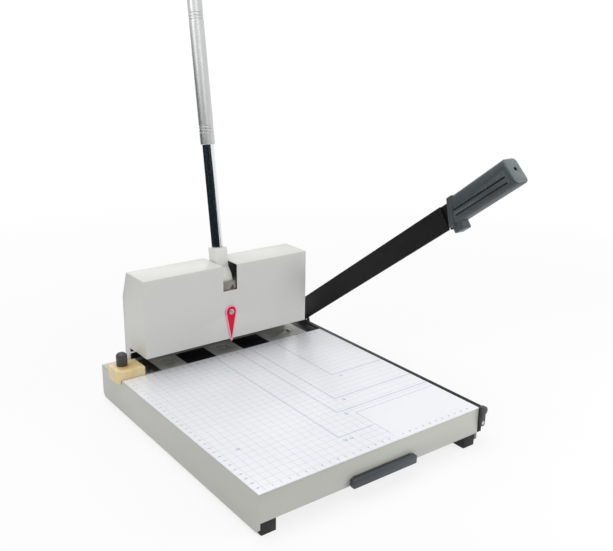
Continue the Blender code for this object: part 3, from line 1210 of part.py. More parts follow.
def make_carriage():
    half = BAR_LENGTH / 2
    bar = box("press_bar", (MIDDLE_X - half, BAR_FRONT, BAR_FOOT), (MIDDLE_X + half, BAR_REAR, BAR_TOP),
              BARE, carriage)
    foot, top = BAR_FOOT - OVERRUN, BAR_TOP + OVERRUN
    rods = [("Z", foot, top, (x, PUNCH_Y), PUNCH_STUD_RADIUS + GAP) for name, x in PUNCH_PLACES]
    rods += [("Z", foot, top, (x, PUNCH_Y), GUIDE_ROD_RADIUS + GAP) for name, x in ROD_PLACES]
    cut_rods(bar, "bar_bores", rods)
    cut_rods(bar, "spring_pockets",
             [("Z", foot, BAR_FOOT + SPRING_POCKET_DEPTH, (x, PUNCH_Y), SPRING_POCKET_RADIUS)
              for name, x in ROD_PLACES])
    left, right = MIDDLE_X - WINDOW_PLATE_WIDTH / 2, MIDDLE_X + WINDOW_PLATE_WIDTH / 2
    plate = box("window_plate", (left, RACK_FRONT, BAR_FOOT), (right, RACK_ROOT_Y, WINDOW_PLATE_TOP),
                BARE, carriage)
    hole_x, hole = MIDDLE_X + WINDOW_HOLE_OFFSET, WINDOW_HOLE / 2
    cut_box(plate, "window_hole", (hole_x - hole, RACK_FRONT - OVERRUN, SHAFT_Z - hole),
            (hole_x + hole, RACK_ROOT_Y + OVERRUN, SHAFT_Z + hole))


def make_punches():
    shoulder = BAR_FOOT - GAP
    cone = PUNCH_TIP + PUNCH_TIP_LENGTH
    bore_top = PUNCH_TIP + PUNCH_BORE_DEPTH
    for name, x in PUNCH_PLACES:
        turned("punch_" + name,
               [(0, BAR_TOP + PUNCH_STUD_END), (PUNCH_STUD_RADIUS, BAR_TOP + PUNCH_STUD_END),
                (PUNCH_STUD_RADIUS, shoulder), (PUNCH_SHANK_RADIUS, shoulder),
                (PUNCH_SHANK_RADIUS, cone + PUNCH_CONE),
                (PUNCH_TIP_RADIUS, cone), (PUNCH_TIP_RADIUS, PUNCH_TIP), (PUNCH_BORE_RADIUS, PUNCH_TIP),
                (PUNCH_BORE_RADIUS, bore_top), (0, bore_top)], STEEL, carriage, (x, PUNCH_Y, 0),
               ROUND_STEPS)
    foot = BAR_TOP + GAP
    for name, x in PUNCH_PLACES:
        bm = bmesh.new()
        add_rod(bm, "Z", foot, foot + NUT_HEIGHT, (x, PUNCH_Y), NUT_RADIUS, 6)
        nut = piece("punch_nut_" + name, bm, STEEL, carriage)
        cut_rods(nut, "nut_bore_" + name, [("Z", foot - OVERRUN, foot + NUT_HEIGHT + OVERRUN, (x, PUNCH_Y),
                                            PUNCH_STUD_RADIUS + GAP)])


# Margin stop with its clamp knob

def make_stop():
    bm = bmesh.new()
    rear = STOP_FRONT + STOP_DEPTH
    add_box(bm, (STOP_LEFT, STOP_FRONT, STOP_FOOT - STOP_LIP_DROP), (STOP_RIGHT, rear, STOP_TOP))
    corner = [edge for edge in edges_along(bm, 2) if max(end.co.x for end in edge.verts) < 0
              and max(end.co.y for end in edge.verts) < STOP_FRONT + JOIN]
    bevel(bm, corner, STOP_ROUND, 4)
    stop = piece("margin_stop", bm, CREAM, stop_slide)
    cut_box(stop, "stop_underside", (-GAP, STOP_FRONT - OVERRUN, STOP_FOOT - STOP_LIP_DROP - OVERRUN),
            (STOP_RIGHT + OVERRUN, rear + OVERRUN, STOP_FOOT))
    bore = KNOB_SCREW_RADIUS + GAP
    cut_rods(stop, "stop_bore", [("Z", STOP_FOOT - OVERRUN, STOP_TOP + OVERRUN, (KNOB_X, KNOB_Y), bore)],
             SMALL_STEPS)
    plate_top = DECK_UNDER - GAP
    foot = plate_top - NUT_PLATE_THICKNESS
    plate = box("stop_nut_plate", (KNOB_X - NUT_PLATE_WIDTH / 2, KNOB_Y - NUT_PLATE_DEPTH / 2, foot),
                (KNOB_X + NUT_PLATE_WIDTH / 2, KNOB_Y + NUT_PLATE_DEPTH / 2, plate_top), STEEL, stop_slide)
    cut_rods(plate, "nut_plate_bore",
             [("Z", foot - OVERRUN, plate_top + OVERRUN, (KNOB_X, KNOB_Y), bore)], SMALL_STEPS)
    knob_foot = STOP_TOP + GAP
    top = knob_foot + KNOB_HEIGHT
    dome = top - KNOB_DOME
    profile = [(KNOB_RADIUS * math.sin(turn), dome + KNOB_DOME * math.cos(turn))
               for turn in [math.pi / 2 * step / DOME_STEPS for step in range(DOME_STEPS + 1)]]
    profile += [(KNOB_RADIUS, knob_foot), (KNOB_SCREW_RADIUS, knob_foot), (KNOB_SCREW_RADIUS, foot),
                (0, foot)]
    turned("clamp_knob", profile, CHARCOAL, knob_axis, steps=ROUND_STEPS)


# Drawer, its rails and pull

def make_drawer():
    half = DRAWER_WIDTH / 2
    top = DRAWER_FOOT + DRAWER_HEIGHT
    drawer = box("pad_drawer", (MIDDLE_X - half, 0, DRAWER_FOOT), (MIDDLE_X + half, DRAWER_LENGTH, top),
                 BARE, drawer_slide)
    cut_box(drawer, "drawer_hollow",
            (MIDDLE_X - half + DRAWER_SHEET, DRAWER_SHEET, DRAWER_FOOT + DRAWER_SHEET),
            (MIDDLE_X + half - DRAWER_SHEET, DRAWER_LENGTH - DRAWER_SHEET, top + OVERRUN))
    box("drawer_pull", (MIDDLE_X - PULL_WIDTH / 2, -GAP - PULL_DEPTH, PULL_FOOT),
        (MIDDLE_X + PULL_WIDTH / 2, -GAP, PULL_FOOT + PULL_HEIGHT), SLATE, drawer_slide, PULL_ROUND)


def make_rails():
    """Two channels that hold the drawer, joined under the deck by a strip at their rear end."""
    low = DRAWER_FOOT - DRAWER_PLAY
    high = DRAWER_FOOT + DRAWER_HEIGHT + DRAWER_PLAY
    hang = DECK_UNDER - GAP
    reach = DRAWER_WIDTH / 2 + DRAWER_PLAY
    lip = reach - RAIL_LIP
    web = reach + RAIL_SHEET
    shape = [(lip, low - RAIL_SHEET), (web, low - RAIL_SHEET), (web, hang), (reach, hang),
             (reach, high + RAIL_SHEET), (lip, high + RAIL_SHEET), (lip, high), (reach, high),
             (reach, low), (lip, low)]
    front = TRAY_FLANGE + GAP
    rear = front + RAIL_LENGTH
    bm = bmesh.new()
    add_box(bm, (MIDDLE_X - web, rear - RAIL_STRIP, hang - RAIL_SHEET), (MIDDLE_X + web, rear, hang))
    rails = piece("drawer_rails", bm, PAINT, machine)
    for name, side in (("left", -1), ("right", 1)):
        points = [(MIDDLE_X + side * across, up) for across, up in shape]
        rail = cutter("rail_" + name, outline_mesh("rail", points, "Y", front, rear), machine)
        combine(rails, rail, "UNION")


make_tray()
make_plate()
make_feet()
make_die_bar()
make_rest_plate()
make_back_plate()
make_end_plates()
make_guide_plate()
make_springs()
make_cover()
make_pointer()
make_fixed_blade()
make_pivot()
make_knife()
make_arm_bar()
make_handle()
make_catch()
make_lever()
make_gears()
make_carriage()
make_punches()
make_stop()
make_drawer()
make_rails()
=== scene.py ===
import json
import math

import bmesh
import bpy
from mathutils import Matrix, Vector

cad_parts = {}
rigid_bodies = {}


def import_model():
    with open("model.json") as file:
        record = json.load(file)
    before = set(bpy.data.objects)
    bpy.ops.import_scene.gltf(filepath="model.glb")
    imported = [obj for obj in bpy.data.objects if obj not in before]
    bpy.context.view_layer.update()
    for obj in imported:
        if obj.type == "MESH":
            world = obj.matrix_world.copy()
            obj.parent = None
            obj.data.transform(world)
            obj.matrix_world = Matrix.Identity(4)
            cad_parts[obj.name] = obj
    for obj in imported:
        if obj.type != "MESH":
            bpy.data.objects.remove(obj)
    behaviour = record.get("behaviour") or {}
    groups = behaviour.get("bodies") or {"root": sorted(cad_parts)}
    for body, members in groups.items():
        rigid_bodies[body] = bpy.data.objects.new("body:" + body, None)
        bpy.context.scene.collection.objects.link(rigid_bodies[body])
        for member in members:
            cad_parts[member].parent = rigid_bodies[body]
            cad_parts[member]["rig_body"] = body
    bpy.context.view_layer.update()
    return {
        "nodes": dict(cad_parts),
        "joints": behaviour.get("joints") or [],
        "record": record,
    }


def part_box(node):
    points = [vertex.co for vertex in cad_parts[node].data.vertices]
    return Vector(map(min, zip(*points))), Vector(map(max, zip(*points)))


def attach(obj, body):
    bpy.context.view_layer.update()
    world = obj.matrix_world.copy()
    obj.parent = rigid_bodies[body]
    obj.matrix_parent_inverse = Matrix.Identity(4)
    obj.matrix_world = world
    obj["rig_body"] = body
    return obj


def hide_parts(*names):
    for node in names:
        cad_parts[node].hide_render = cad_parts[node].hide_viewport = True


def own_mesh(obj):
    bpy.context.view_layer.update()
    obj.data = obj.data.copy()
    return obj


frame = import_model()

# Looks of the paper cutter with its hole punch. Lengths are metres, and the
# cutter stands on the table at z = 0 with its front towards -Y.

# Photograph's view, worked out from the tray's corners and the ruled plate;
# the eye's place is measured from the tray's front left corner on the table
EYE_FROM_CORNER = Vector((-0.35206, -0.53292, 0.46509))
VIEW_AZIMUTH = math.radians(37.141)
VIEW_ELEVATION = math.radians(17.696)
VIEW_ROLL = math.radians(0.896)
LENS = 46.42
SENSOR = 36.0

# Places read from the frame
TRAY_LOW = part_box("tray")[0]
PLATE_LOW, PLATE_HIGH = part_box("printed_plate")
COVER_LOW, COVER_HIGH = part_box("punch_cover")
ARM_LOW, ARM_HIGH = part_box("arm_bar")
BLADE_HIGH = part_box("fixed_blade")[1]
JOINTS = {joint["name"]: joint for joint in frame["joints"]}
PIVOT = Vector(JOINTS["arm_hinge"]["pos_m"])
SHAFT = Vector(JOINTS["lever_hinge"]["pos_m"])
MIDDLE_OF_ARM = (ARM_LOW.x + ARM_HIGH.x) / 2 - PIVOT.x
ARM_RAISED = math.radians(JOINTS["arm_hinge"]["range_deg"][1])
LEVER_LEAN = math.radians(8.15)
ARM_FRAME = Matrix.Translation(PIVOT) @ Matrix.Rotation(-ARM_RAISED, 4, "X")
LEVER_FRAME = Matrix.Translation(SHAFT) @ Matrix.Rotation(-LEVER_LEAN, 4, "X")
SLOT_OF = {entry["node"]: entry["material_slot"] for entry in frame["record"]["subparts"]}
BODY_OF = {name: node["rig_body"] for name, node in frame["nodes"].items()}

# Roundness of turned pieces and of shading
TURN_STEPS = 64
SCREW_STEPS = 32
SMOOTH_ANGLE = math.radians(38)
SHARP_ANGLE = math.radians(28)
FLAT_ANGLE = math.radians(0.6)
MERGE = 0.000002


# Shader nodes

def node(tree, kind, inputs=None, **settings):
    """Adds a node, and links or sets its inputs by name or number."""
    made = tree.nodes.new(kind)
    for key, value in settings.items():
        setattr(made, key, value)
    for key, value in (inputs or {}).items():
        if isinstance(value, bpy.types.NodeSocket):
            tree.links.new(value, made.inputs[key])
        else:
            made.inputs[key].default_value = value
    return made


def math_node(tree, operation, first, second=None, clamp=False):
    values = {0: first} if second is None else {0: first, 1: second}
    return node(tree, "ShaderNodeMath", values, operation=operation, use_clamp=clamp).outputs[0]


def noise(tree, place, scale, detail=2.0, rough=0.5):
    values = {"Vector": place, "Scale": scale, "Detail": detail, "Roughness": rough}
    return node(tree, "ShaderNodeTexNoise", values).outputs["Fac"]


def spread(tree, value, low, high, new_low=0.0, new_high=1.0):
    """Maps a value from one range to another, held inside the new one."""
    values = {"Value": value, "From Min": low, "From Max": high, "To Min": new_low, "To Max": new_high}
    return node(tree, "ShaderNodeMapRange", values).outputs["Result"]


def blend_colours(tree, factor, first, second, blend_type="MIX"):
    mixed = node(tree, "ShaderNodeMix", data_type="RGBA", blend_type=blend_type)
    for socket, value in ((mixed.inputs[0], factor), (mixed.inputs[6], first), (mixed.inputs[7], second)):
        if isinstance(value, bpy.types.NodeSocket):
            tree.links.new(value, socket)
        else:
            socket.default_value = value
    return mixed.outputs[2]


def shader_group(name, inputs, outputs, fill):
    """Builds a shared effect once. Inputs are (name, kind, default), outputs (name, kind)."""
    tree = bpy.data.node_groups.new(name, "ShaderNodeTree")
    for label, kind, default in inputs:
        socket = tree.interface.new_socket(label, in_out="INPUT", socket_type="NodeSocket" + kind)
        socket.default_value = default
    for label, kind in outputs:
        tree.interface.new_socket(label, in_out="OUTPUT", socket_type="NodeSocket" + kind)
    start = tree.nodes.new("NodeGroupInput").outputs
    end = tree.nodes.new("NodeGroupOutput").inputs
    for label, socket in fill(tree, start).items():
        tree.links.new(socket, end[label])
    return tree


def fill_skin(tree, given):
    """Fine texture of a paint or a moulding, over softened edges."""
    place = node(tree, "ShaderNodeTexCoord").outputs["Object"]
    soft = node(tree, "ShaderNodeBevel", {"Radius": given["Round"]}, samples=4).outputs[0]
    fine = noise(tree, place, given["Scale"], 3.0, 0.6)
    values = {"Strength": given["Depth"], "Distance": 0.00012, "Height": fine, "Normal": soft}
    bump = node(tree, "ShaderNodeBump", values).outputs[0]
    return {"Normal": bump, "Grain": fine}


def fill_wear(tree, given):
    """Mask of rubbed edges: high where the softened normal turns away from the face."""
    place = node(tree, "ShaderNodeTexCoord").outputs["Object"]
    soft = node(tree, "ShaderNodeBevel", {"Radius": given["Width"]}, samples=6).outputs[0]
    flat = node(tree, "ShaderNodeNewGeometry").outputs["True Normal"]
    along = node(tree, "ShaderNodeVectorMath", {0: soft, 1: flat}, operation="DOT_PRODUCT").outputs["Value"]
    edge = spread(tree, along, 0.99, 0.82)
    broken = spread(tree, noise(tree, place, given["Scale"], 6.0, 0.65), 0.38, 0.66)
    worn = math_node(tree, "MULTIPLY", edge, broken)
    return {"Mask": math_node(tree, "MULTIPLY", worn, given["Amount"], True)}


def fill_drift(tree, given):
    """Slow change of tone over a surface, and random patches where it has been handled."""
    place = node(tree, "ShaderNodeTexCoord").outputs["Object"]
    cloud = noise(tree, place, 9.0, 3.0, 0.5)
    tone = spread(tree, cloud, 0.3, 0.7, 0.965, 1.02)
    patch = noise(tree, place, 70.0, 4.0, 0.6)
    handled = spread(tree, patch, 0.35, 0.75, 0.0, 1.0)
    toned = node(tree, "ShaderNodeVectorMath", {0: given["Colour"], "Scale": tone}, operation="SCALE")
    return {"Colour": toned.outputs[0], "Handled": handled}


def fill_brushed(tree, given):
    """Fine lines along one direction: the stretch is the pattern's scale along each axis."""
    place = node(tree, "ShaderNodeTexCoord").outputs["Object"]
    turned_place = node(tree, "ShaderNodeMapping", {"Vector": place, "Scale": given["Stretch"]}).outputs[0]
    lines = noise(tree, turned_place, 1.0, 5.0, 0.7)
    soft = node(tree, "ShaderNodeBevel", {"Radius": 0.0004}, samples=4).outputs[0]
    values = {"Strength": given["Depth"], "Distance": 0.00006, "Height": lines, "Normal": soft}
    bump = node(tree, "ShaderNodeBump", values).outputs[0]
    return {"Lines": lines, "Normal": bump}


def fill_rules(tree, given):
    """Mask of thin lines a pitch apart along one coordinate."""
    shifted = math_node(tree, "SUBTRACT", given["Along"], given["Start"])
    half = math_node(tree, "MULTIPLY", given["Pitch"], 0.5)
    away = math_node(tree, "PINGPONG", shifted, half)
    return {"Mask": math_node(tree, "LESS_THAN", away, given["Half width"])}


GREY = (0.5, 0.5, 0.5, 1.0)
SKIN = shader_group("fine_skin",
                    [("Scale", "Float", 1500.0), ("Depth", "Float", 0.1), ("Round", "Float", 0.0004)],
                    [("Normal", "Vector"), ("Grain", "Float")], fill_skin)
WEAR = shader_group("edge_wear",
                    [("Width", "Float", 0.0008), ("Scale", "Float", 160.0), ("Amount", "Float", 0.5)],
                    [("Mask", "Float")], fill_wear)
DRIFT = shader_group("tone_drift", [("Colour", "Color", GREY)], [("Colour", "Color"), ("Handled", "Float")],
                     fill_drift)
BRUSHED = shader_group("brushed_lines",
                       [("Stretch", "Vector", (30.0, 2500.0, 2500.0)), ("Depth", "Float", 0.1)],
                       [("Lines", "Float"), ("Normal", "Vector")], fill_brushed)
RULES = shader_group("ruled_lines",
                     [("Along", "Float", 0.0), ("Start", "Float", 0.0), ("Pitch", "Float", 0.01),
                      ("Half width", "Float", 0.0002)], [("Mask", "Float")], fill_rules)


def use(tree, shared, **values):
    """Places a shared effect in a material with this material's own values."""
    inputs = {key.replace("_", " "): value for key, value in values.items()}
    return node(tree, "ShaderNodeGroup", inputs, node_tree=shared).outputs


def start_material(name, rough, metallic=0.0, **plain):
    """New material with its Principled BSDF, whose plain values are set on its own sockets."""
    material = bpy.data.materials.new(name)
    material.use_nodes = True
    tree = material.node_tree
    shader = tree.nodes["Principled BSDF"]
    shader.inputs["Roughness"].default_value = rough
    shader.inputs["Metallic"].default_value = metallic
    for key, value in plain.items():
        shader.inputs[key.replace("_", " ")].default_value = value
    return material, tree, shader.inputs


def sheet_paint(name, colour, rough, worn_colour, amount, depth=0.10, scale=1300.0, **plain):
    """Baked paint on sheet steel: slight orange peel, and rubbed edges."""
    material, tree, skin = start_material(name, rough, **plain)
    drift = use(tree, DRIFT, Colour=colour)
    worn = use(tree, WEAR, Width=0.0007, Scale=120.0, Amount=amount)["Mask"]
    tree.links.new(blend_colours(tree, worn, drift["Colour"], worn_colour), skin["Base Color"])
    tree.links.new(spread(tree, drift["Handled"], 0.0, 1.0, rough - 0.04, rough + 0.07), skin["Roughness"])
    tree.links.new(use(tree, SKIN, Scale=scale, Depth=depth, Round=0.0005)["Normal"], skin["Normal"])
    return material


def moulding(name, colour, rough, depth=0.16, scale=1700.0, worn_colour=None, **plain):
    """Moulded plastic or rubber: fine spark texture, paler where it is rubbed."""
    material, tree, skin = start_material(name, rough, **plain)
    drift = use(tree, DRIFT, Colour=colour)
    shade = drift["Colour"]
    if worn_colour:
        worn = use(tree, WEAR, Width=0.0009, Scale=220.0, Amount=0.55)["Mask"]
        shade = blend_colours(tree, worn, shade, worn_colour)
    tree.links.new(shade, skin["Base Color"])
    tree.links.new(spread(tree, drift["Handled"], 0.0, 1.0, rough - 0.06, rough + 0.08), skin["Roughness"])
    tree.links.new(use(tree, SKIN, Scale=scale, Depth=depth, Round=0.0005)["Normal"], skin["Normal"])
    return material


def metal(name, colour, rough, stretch, depth, swing=0.08):
    """Bare metal with machining or rolling lines."""
    material, tree, skin = start_material(name, rough, 1.0)
    brushed = use(tree, BRUSHED, Stretch=stretch, Depth=depth)
    drift = use(tree, DRIFT, Colour=colour)
    tree.links.new(drift["Colour"], skin["Base Color"])
    tree.links.new(spread(tree, brushed["Lines"], 0.3, 0.7, rough - swing, rough + swing), skin["Roughness"])
    tree.links.new(brushed["Normal"], skin["Normal"])
    return material


def plate_print():
    """White plate with a printed centimetre grid, bare in the box at its front right."""
    material, tree, skin = start_material("printed_plate_white", 0.34, Coat_Weight=0.15, Coat_Roughness=0.25)
    place = node(tree, "ShaderNodeTexCoord").outputs["Object"]
    axes = node(tree, "ShaderNodeSeparateXYZ", {0: place}).outputs
    across = use(tree, RULES, Along=axes["X"], Start=PLATE_LOW.x, Pitch=GRID_PITCH, Half_width=GRID_LINE / 2)
    along = use(tree, RULES, Along=axes["Y"], Start=PLATE_HIGH.y, Pitch=GRID_PITCH, Half_width=GRID_LINE / 2)
    ruled_end = PLATE_LOW.x + RULED_WIDTH
    fade = spread(tree, axes["X"], ruled_end, ruled_end + GRID_PITCH, 1.0, FADED_GRID)
    upright = math_node(tree, "MULTIPLY", across["Mask"], fade)
    lines = math_node(tree, "MAXIMUM", upright, along["Mask"])
    right = math_node(tree, "GREATER_THAN", axes["X"], PLATE_LOW.x + BARE_BOX_LEFT)
    front = math_node(tree, "LESS_THAN", axes["Y"], PLATE_HIGH.y - BARE_BOX_REAR)
    outside = math_node(tree, "SUBTRACT", 1.0, math_node(tree, "MULTIPLY", right, front))
    normal = node(tree, "ShaderNodeNewGeometry").outputs["True Normal"]
    level = node(tree, "ShaderNodeSeparateXYZ", {0: normal})
    top = math_node(tree, "GREATER_THAN", level.outputs["Z"], 0.9)
    lines = math_node(tree, "MULTIPLY", math_node(tree, "MULTIPLY", lines, outside), top)
    uneven = spread(tree, noise(tree, place, 240.0, 3.0), 0.3, 0.7, 0.45, 0.85)
    faded = math_node(tree, "MULTIPLY", lines, uneven)
    drift = use(tree, DRIFT, Colour=PLATE_WHITE)
    tree.links.new(blend_colours(tree, faded, drift["Colour"], GRID_INK), skin["Base Color"])
    tree.links.new(spread(tree, drift["Handled"], 0.0, 1.0, 0.28, 0.42), skin["Roughness"])
    tree.links.new(use(tree, SKIN, Scale=900.0, Depth=0.04, Round=0.0002)["Normal"], skin["Normal"])
    return material


def cream_plastic():
    """Stop of aged nylon: cream where it is thin, amber in the middle."""
    material, tree, skin = start_material("cream_nylon_aged", 0.38, Subsurface_Weight=0.25,
                                          Subsurface_Radius=(0.004, 0.002, 0.0008), Subsurface_Scale=1.0)
    place = node(tree, "ShaderNodeTexCoord").outputs["Object"]
    low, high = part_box("margin_stop")
    middle = (low + high) / 2
    centred = node(tree, "ShaderNodeMapping", {"Vector": place, "Location": -middle - Vector((0, 0, 0.004))})
    far = node(tree, "ShaderNodeVectorMath", {0: centred.outputs[0]}, operation="LENGTH").outputs["Value"]
    cloud = spread(tree, noise(tree, place, 90.0, 3.0), 0.3, 0.7, -0.004, 0.004)
    depth = spread(tree, math_node(tree, "ADD", far, cloud), 0.004, 0.020)
    tree.links.new(blend_colours(tree, depth, CREAM_DEEP, CREAM_PALE), skin["Base Color"])
    tree.links.new(use(tree, SKIN, Scale=1100.0, Depth=0.08, Round=0.0006)["Normal"], skin["Normal"])
    return material


def flat_ink(name, colour):
    """Printing ink, slightly uneven."""
    material, tree, skin = start_material(name, 0.45)
    tree.links.new(use(tree, DRIFT, Colour=colour)["Colour"], skin["Base Color"])
    return material


# Print on the plate, measured from its left and rear edges
GRID_PITCH = 0.010
GRID_LINE = 0.00042
RULED_WIDTH = 0.1825
FADED_GRID = 0.35
BARE_BOX_LEFT = 0.180
BARE_BOX_REAR = 0.227
BARE_BOX_FRONT = 0.286
OUTLINE_REAR = 0.012
PRINT_MARGIN = 0.001
PLATE_WHITE = (0.80, 0.81, 0.83, 1.0)
GRID_INK = (0.42, 0.45, 0.56, 1.0)
CREAM_DEEP = (0.52, 0.34, 0.11, 1.0)
CREAM_PALE = (0.76, 0.62, 0.35, 1.0)

FINISHES = {
    "light_grey_paint": sheet_paint("tray_grey_paint", (0.51, 0.515, 0.475, 1), 0.42,
                                    (0.30, 0.29, 0.27, 1), 0.30),
    "warm_white_paint": sheet_paint("cover_white_paint", (0.66, 0.66, 0.63, 1), 0.40,
                                    (0.48, 0.47, 0.44, 1), 0.22, 0.14, 1100.0),
    "printed_white": plate_print(),
    "black_rubber": moulding("foot_black_rubber", (0.018, 0.018, 0.018, 1), 0.68, 0.25, 900.0),
    "black_steel": sheet_paint("blade_black_paint", (0.009, 0.009, 0.010, 1), 0.42,
                               (0.16, 0.16, 0.17, 1), 0.45, 0.12, 1500.0, Specular_IOR_Level=0.18),
    "bright_steel": metal("bright_steel_turned", (0.60, 0.60, 0.62, 1), 0.26, (900.0, 900.0, 2600.0), 0.05),
    "bare_steel": metal("bare_steel_rolled", (0.36, 0.33, 0.30, 1), 0.44,
                        (60.0, 1800.0, 1800.0), 0.18, 0.10),
    "chrome": metal("lever_chrome", (0.80, 0.81, 0.83, 1), 0.09, (500.0, 500.0, 40.0), 0.015, 0.03),
    "satin_aluminium": metal("grip_aluminium", (0.60, 0.61, 0.61, 1), 0.42,
                             (160.0, 160.0, 900.0), 0.20, 0.07),
    "bearing_bronze": metal("bush_bronze", (0.52, 0.35, 0.16, 1), 0.36, (2200.0, 300.0, 300.0), 0.08),
    "slate_plastic": moulding("handle_slate_plastic", (0.050, 0.060, 0.067, 1), 0.42, 0.20, 1500.0,
                              (0.15, 0.165, 0.17, 1)),
    "charcoal_plastic": moulding("knob_charcoal_plastic", (0.050, 0.050, 0.052, 1), 0.50, 0.22, 1500.0,
                                 (0.13, 0.13, 0.13, 1)),
    "cream_nylon": cream_plastic(),
    "white_nylon": moulding("seat_white_casting", (0.80, 0.80, 0.76, 1), 0.46, 0.30, 700.0,
                            (0.52, 0.51, 0.47, 1)),
    "red_plastic": moulding("pointer_red_plastic", (0.70, 0.002, 0.045, 1), 0.45, 0.05, 1500.0,
                            Specular_IOR_Level=0.25),
}
BLACKED_STEEL = sheet_paint("die_bar_blacked", (0.010, 0.010, 0.011, 1), 0.45,
                            (0.08, 0.08, 0.08, 1), 0.4)
GROUND_STEEL = metal("ground_edge_steel", (0.58, 0.58, 0.60, 1), 0.20, (2200.0, 60.0, 60.0), 0.10)
POINTER_BORDER = moulding("pointer_pink_border", (0.94, 0.42, 0.52, 1), 0.40, 0.05, 1500.0)
LINE_INK = flat_ink("outline_ink", (0.22, 0.24, 0.40, 1.0))
DIGIT_INK = flat_ink("digit_ink", (0.06, 0.07, 0.12, 1.0))
LABEL_INK = flat_ink("label_ink", (0.08, 0.12, 0.42, 1.0))
PAD_PALE = moulding("pad_pale_nylon", (0.44, 0.44, 0.42, 1), 0.50, 0.12, 1100.0)
# Painted highlight: a paler plastic on the handle's end face, standing for the light falling on it
END_PAINTED_LIGHT = moulding("handle_end_painted_highlight", (0.135, 0.155, 0.155, 1), 0.40, 0.20, 1500.0)
# Painted shade: a darker plastic laid in the handle's grooves
GROOVE_PAINTED_SHADE = moulding("groove_shadow_plastic", (0.016, 0.020, 0.023, 1), 0.55, 0.15, 1500.0)


# Making pieces

def add_piece(name, bm, body, slot, materials=(), stands_for=(), smooth=SMOOTH_ANGLE):
    """Turns a bmesh into a finished piece that rides on its body."""
    bmesh.ops.recalc_face_normals(bm, faces=bm.faces)
    mesh = bpy.data.meshes.new(name)
    bm.to_mesh(mesh)
    bm.free()
    for material in materials or (FINISHES[slot],):
        mesh.materials.append(material)
    mesh.shade_smooth()
    mesh.set_sharp_from_angle(angle=smooth)
    piece = bpy.data.objects.new(name, mesh)
    bpy.context.scene.collection.objects.link(piece)
    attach(piece, body)
    if stands_for:
        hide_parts(*stands_for)
    return piece


def merged_copy(name):
    """A CAD node's shape with its loose triangles joined into whole faces."""
    bm = bmesh.new()
    bm.from_mesh(frame["nodes"][name].data)
    bmesh.ops.remove_doubles(bm, verts=bm.verts, dist=MERGE)
    bmesh.ops.dissolve_limit(bm, angle_limit=FLAT_ANGLE, use_dissolve_boundaries=False,
                             verts=bm.verts, edges=bm.edges)
    for face in bm.faces:
        face.material_index = 0
    return bm


def sharp_edges(bm, angle=SHARP_ANGLE):
    return [edge for edge in bm.edges if len(edge.link_faces) == 2 and edge.calc_face_angle(0) > angle]


def soften(bm, width, segments=2, edges=None):
    """Rounds the sharp edges."""
    bmesh.ops.bevel(bm, geom=sharp_edges(bm) if edges is None else edges, offset=width, offset_type="OFFSET",
                    segments=segments, profile=0.5, affect="EDGES", clamp_overlap=True, material=-1)


def refine(name, width, segments=2):
    """Gives a CAD node fine rounded edges in its place."""
    bm = merged_copy(name)
    if width:
        soften(bm, width, segments)
    materials = (OTHER_FINISH[name],) if name in OTHER_FINISH else ()
    return add_piece(name + "_finished", bm, BODY_OF[name], SLOT_OF[name], materials, (name,))


def turned(profile, place, steps=TURN_STEPS, axis=(0, 0, 1)):
    """Spins (radius, height) points about +Z, then sets the result in its place."""
    bm = bmesh.new()
    points = [bm.verts.new((radius, 0, height)) for radius, height in profile]
    edges = [bm.edges.new(pair) for pair in zip(points, points[1:])]
    bmesh.ops.spin(bm, geom=points + edges, cent=(0, 0, 0), axis=(0, 0, 1), angle=math.tau, steps=steps,
                   use_merge=True)
    bmesh.ops.remove_doubles(bm, verts=bm.verts, dist=MERGE)
    bmesh.ops.transform(bm, matrix=place @ Vector(axis).to_track_quat("Z", "Y").to_matrix().to_4x4(),
                        verts=bm.verts)
    return bm


def round_corners(profile, radius, steps=4):
    """Replaces each inner corner of a profile with a short arc, except its ends."""
    out = [profile[0]]
    for before, corner, after in zip(profile, profile[1:], profile[2:]):
        here = Vector(corner)
        back, forth = Vector(before) - here, Vector(after) - here
        reach = min(radius, back.length / 2, forth.length / 2)
        start, end = here + back.normalized() * reach, here + forth.normalized() * reach
        for step in range(steps + 1):
            share = step / steps
            near, far = start.lerp(here, share), here.lerp(end, share)
            out.append(tuple(near.lerp(far, share)))
    out.append(profile[-1])
    return out


def block(low, high, place=Matrix()):
    """A box between two corners of a piece's own frame."""
    low, high = Vector(low), Vector(high)
    bm = bmesh.new()
    bmesh.ops.create_cube(bm, size=1.0)
    size = Matrix.Diagonal((*(high - low), 1))
    bmesh.ops.transform(bm, matrix=place @ Matrix.Translation((low + high) / 2) @ size, verts=bm.verts)
    return bm


def join(target, other):
    """Adds one bmesh to another and frees it."""
    mesh = bpy.data.meshes.new("joining")
    other.to_mesh(mesh)
    other.free()
    target.from_mesh(mesh)
    bpy.data.meshes.remove(mesh)


def carve(bm, cutter):
    """Cuts one bmesh out of another."""
    objects = []
    for name, source in (("carved", bm), ("carver", cutter)):
        mesh = bpy.data.meshes.new(name)
        source.to_mesh(mesh)
        source.free()
        objects.append(bpy.data.objects.new(name, mesh))
        bpy.context.scene.collection.objects.link(objects[-1])
    whole, knife = objects
    cut = whole.modifiers.new("cut", "BOOLEAN")
    cut.operation = "DIFFERENCE"
    cut.solver = "EXACT"
    cut.object = knife
    graph = bpy.context.evaluated_depsgraph_get()
    result = bpy.data.meshes.new_from_object(whole.evaluated_get(graph))
    out = bmesh.new()
    out.from_mesh(result)
    for obj in objects:
        mesh = obj.data
        bpy.data.objects.remove(obj)
        bpy.data.meshes.remove(mesh)
    bpy.data.meshes.remove(result)
    return out


# Screws, as shares of their head's radius and height
CROSS_LONG_SHARE = 0.62
CROSS_THIN_SHARE = 0.13
HEX_SHARE = 0.52
RECESS_SHARE = 0.6
DOMED_SHARE = 0.45
FLAT_SHARE = 0.12


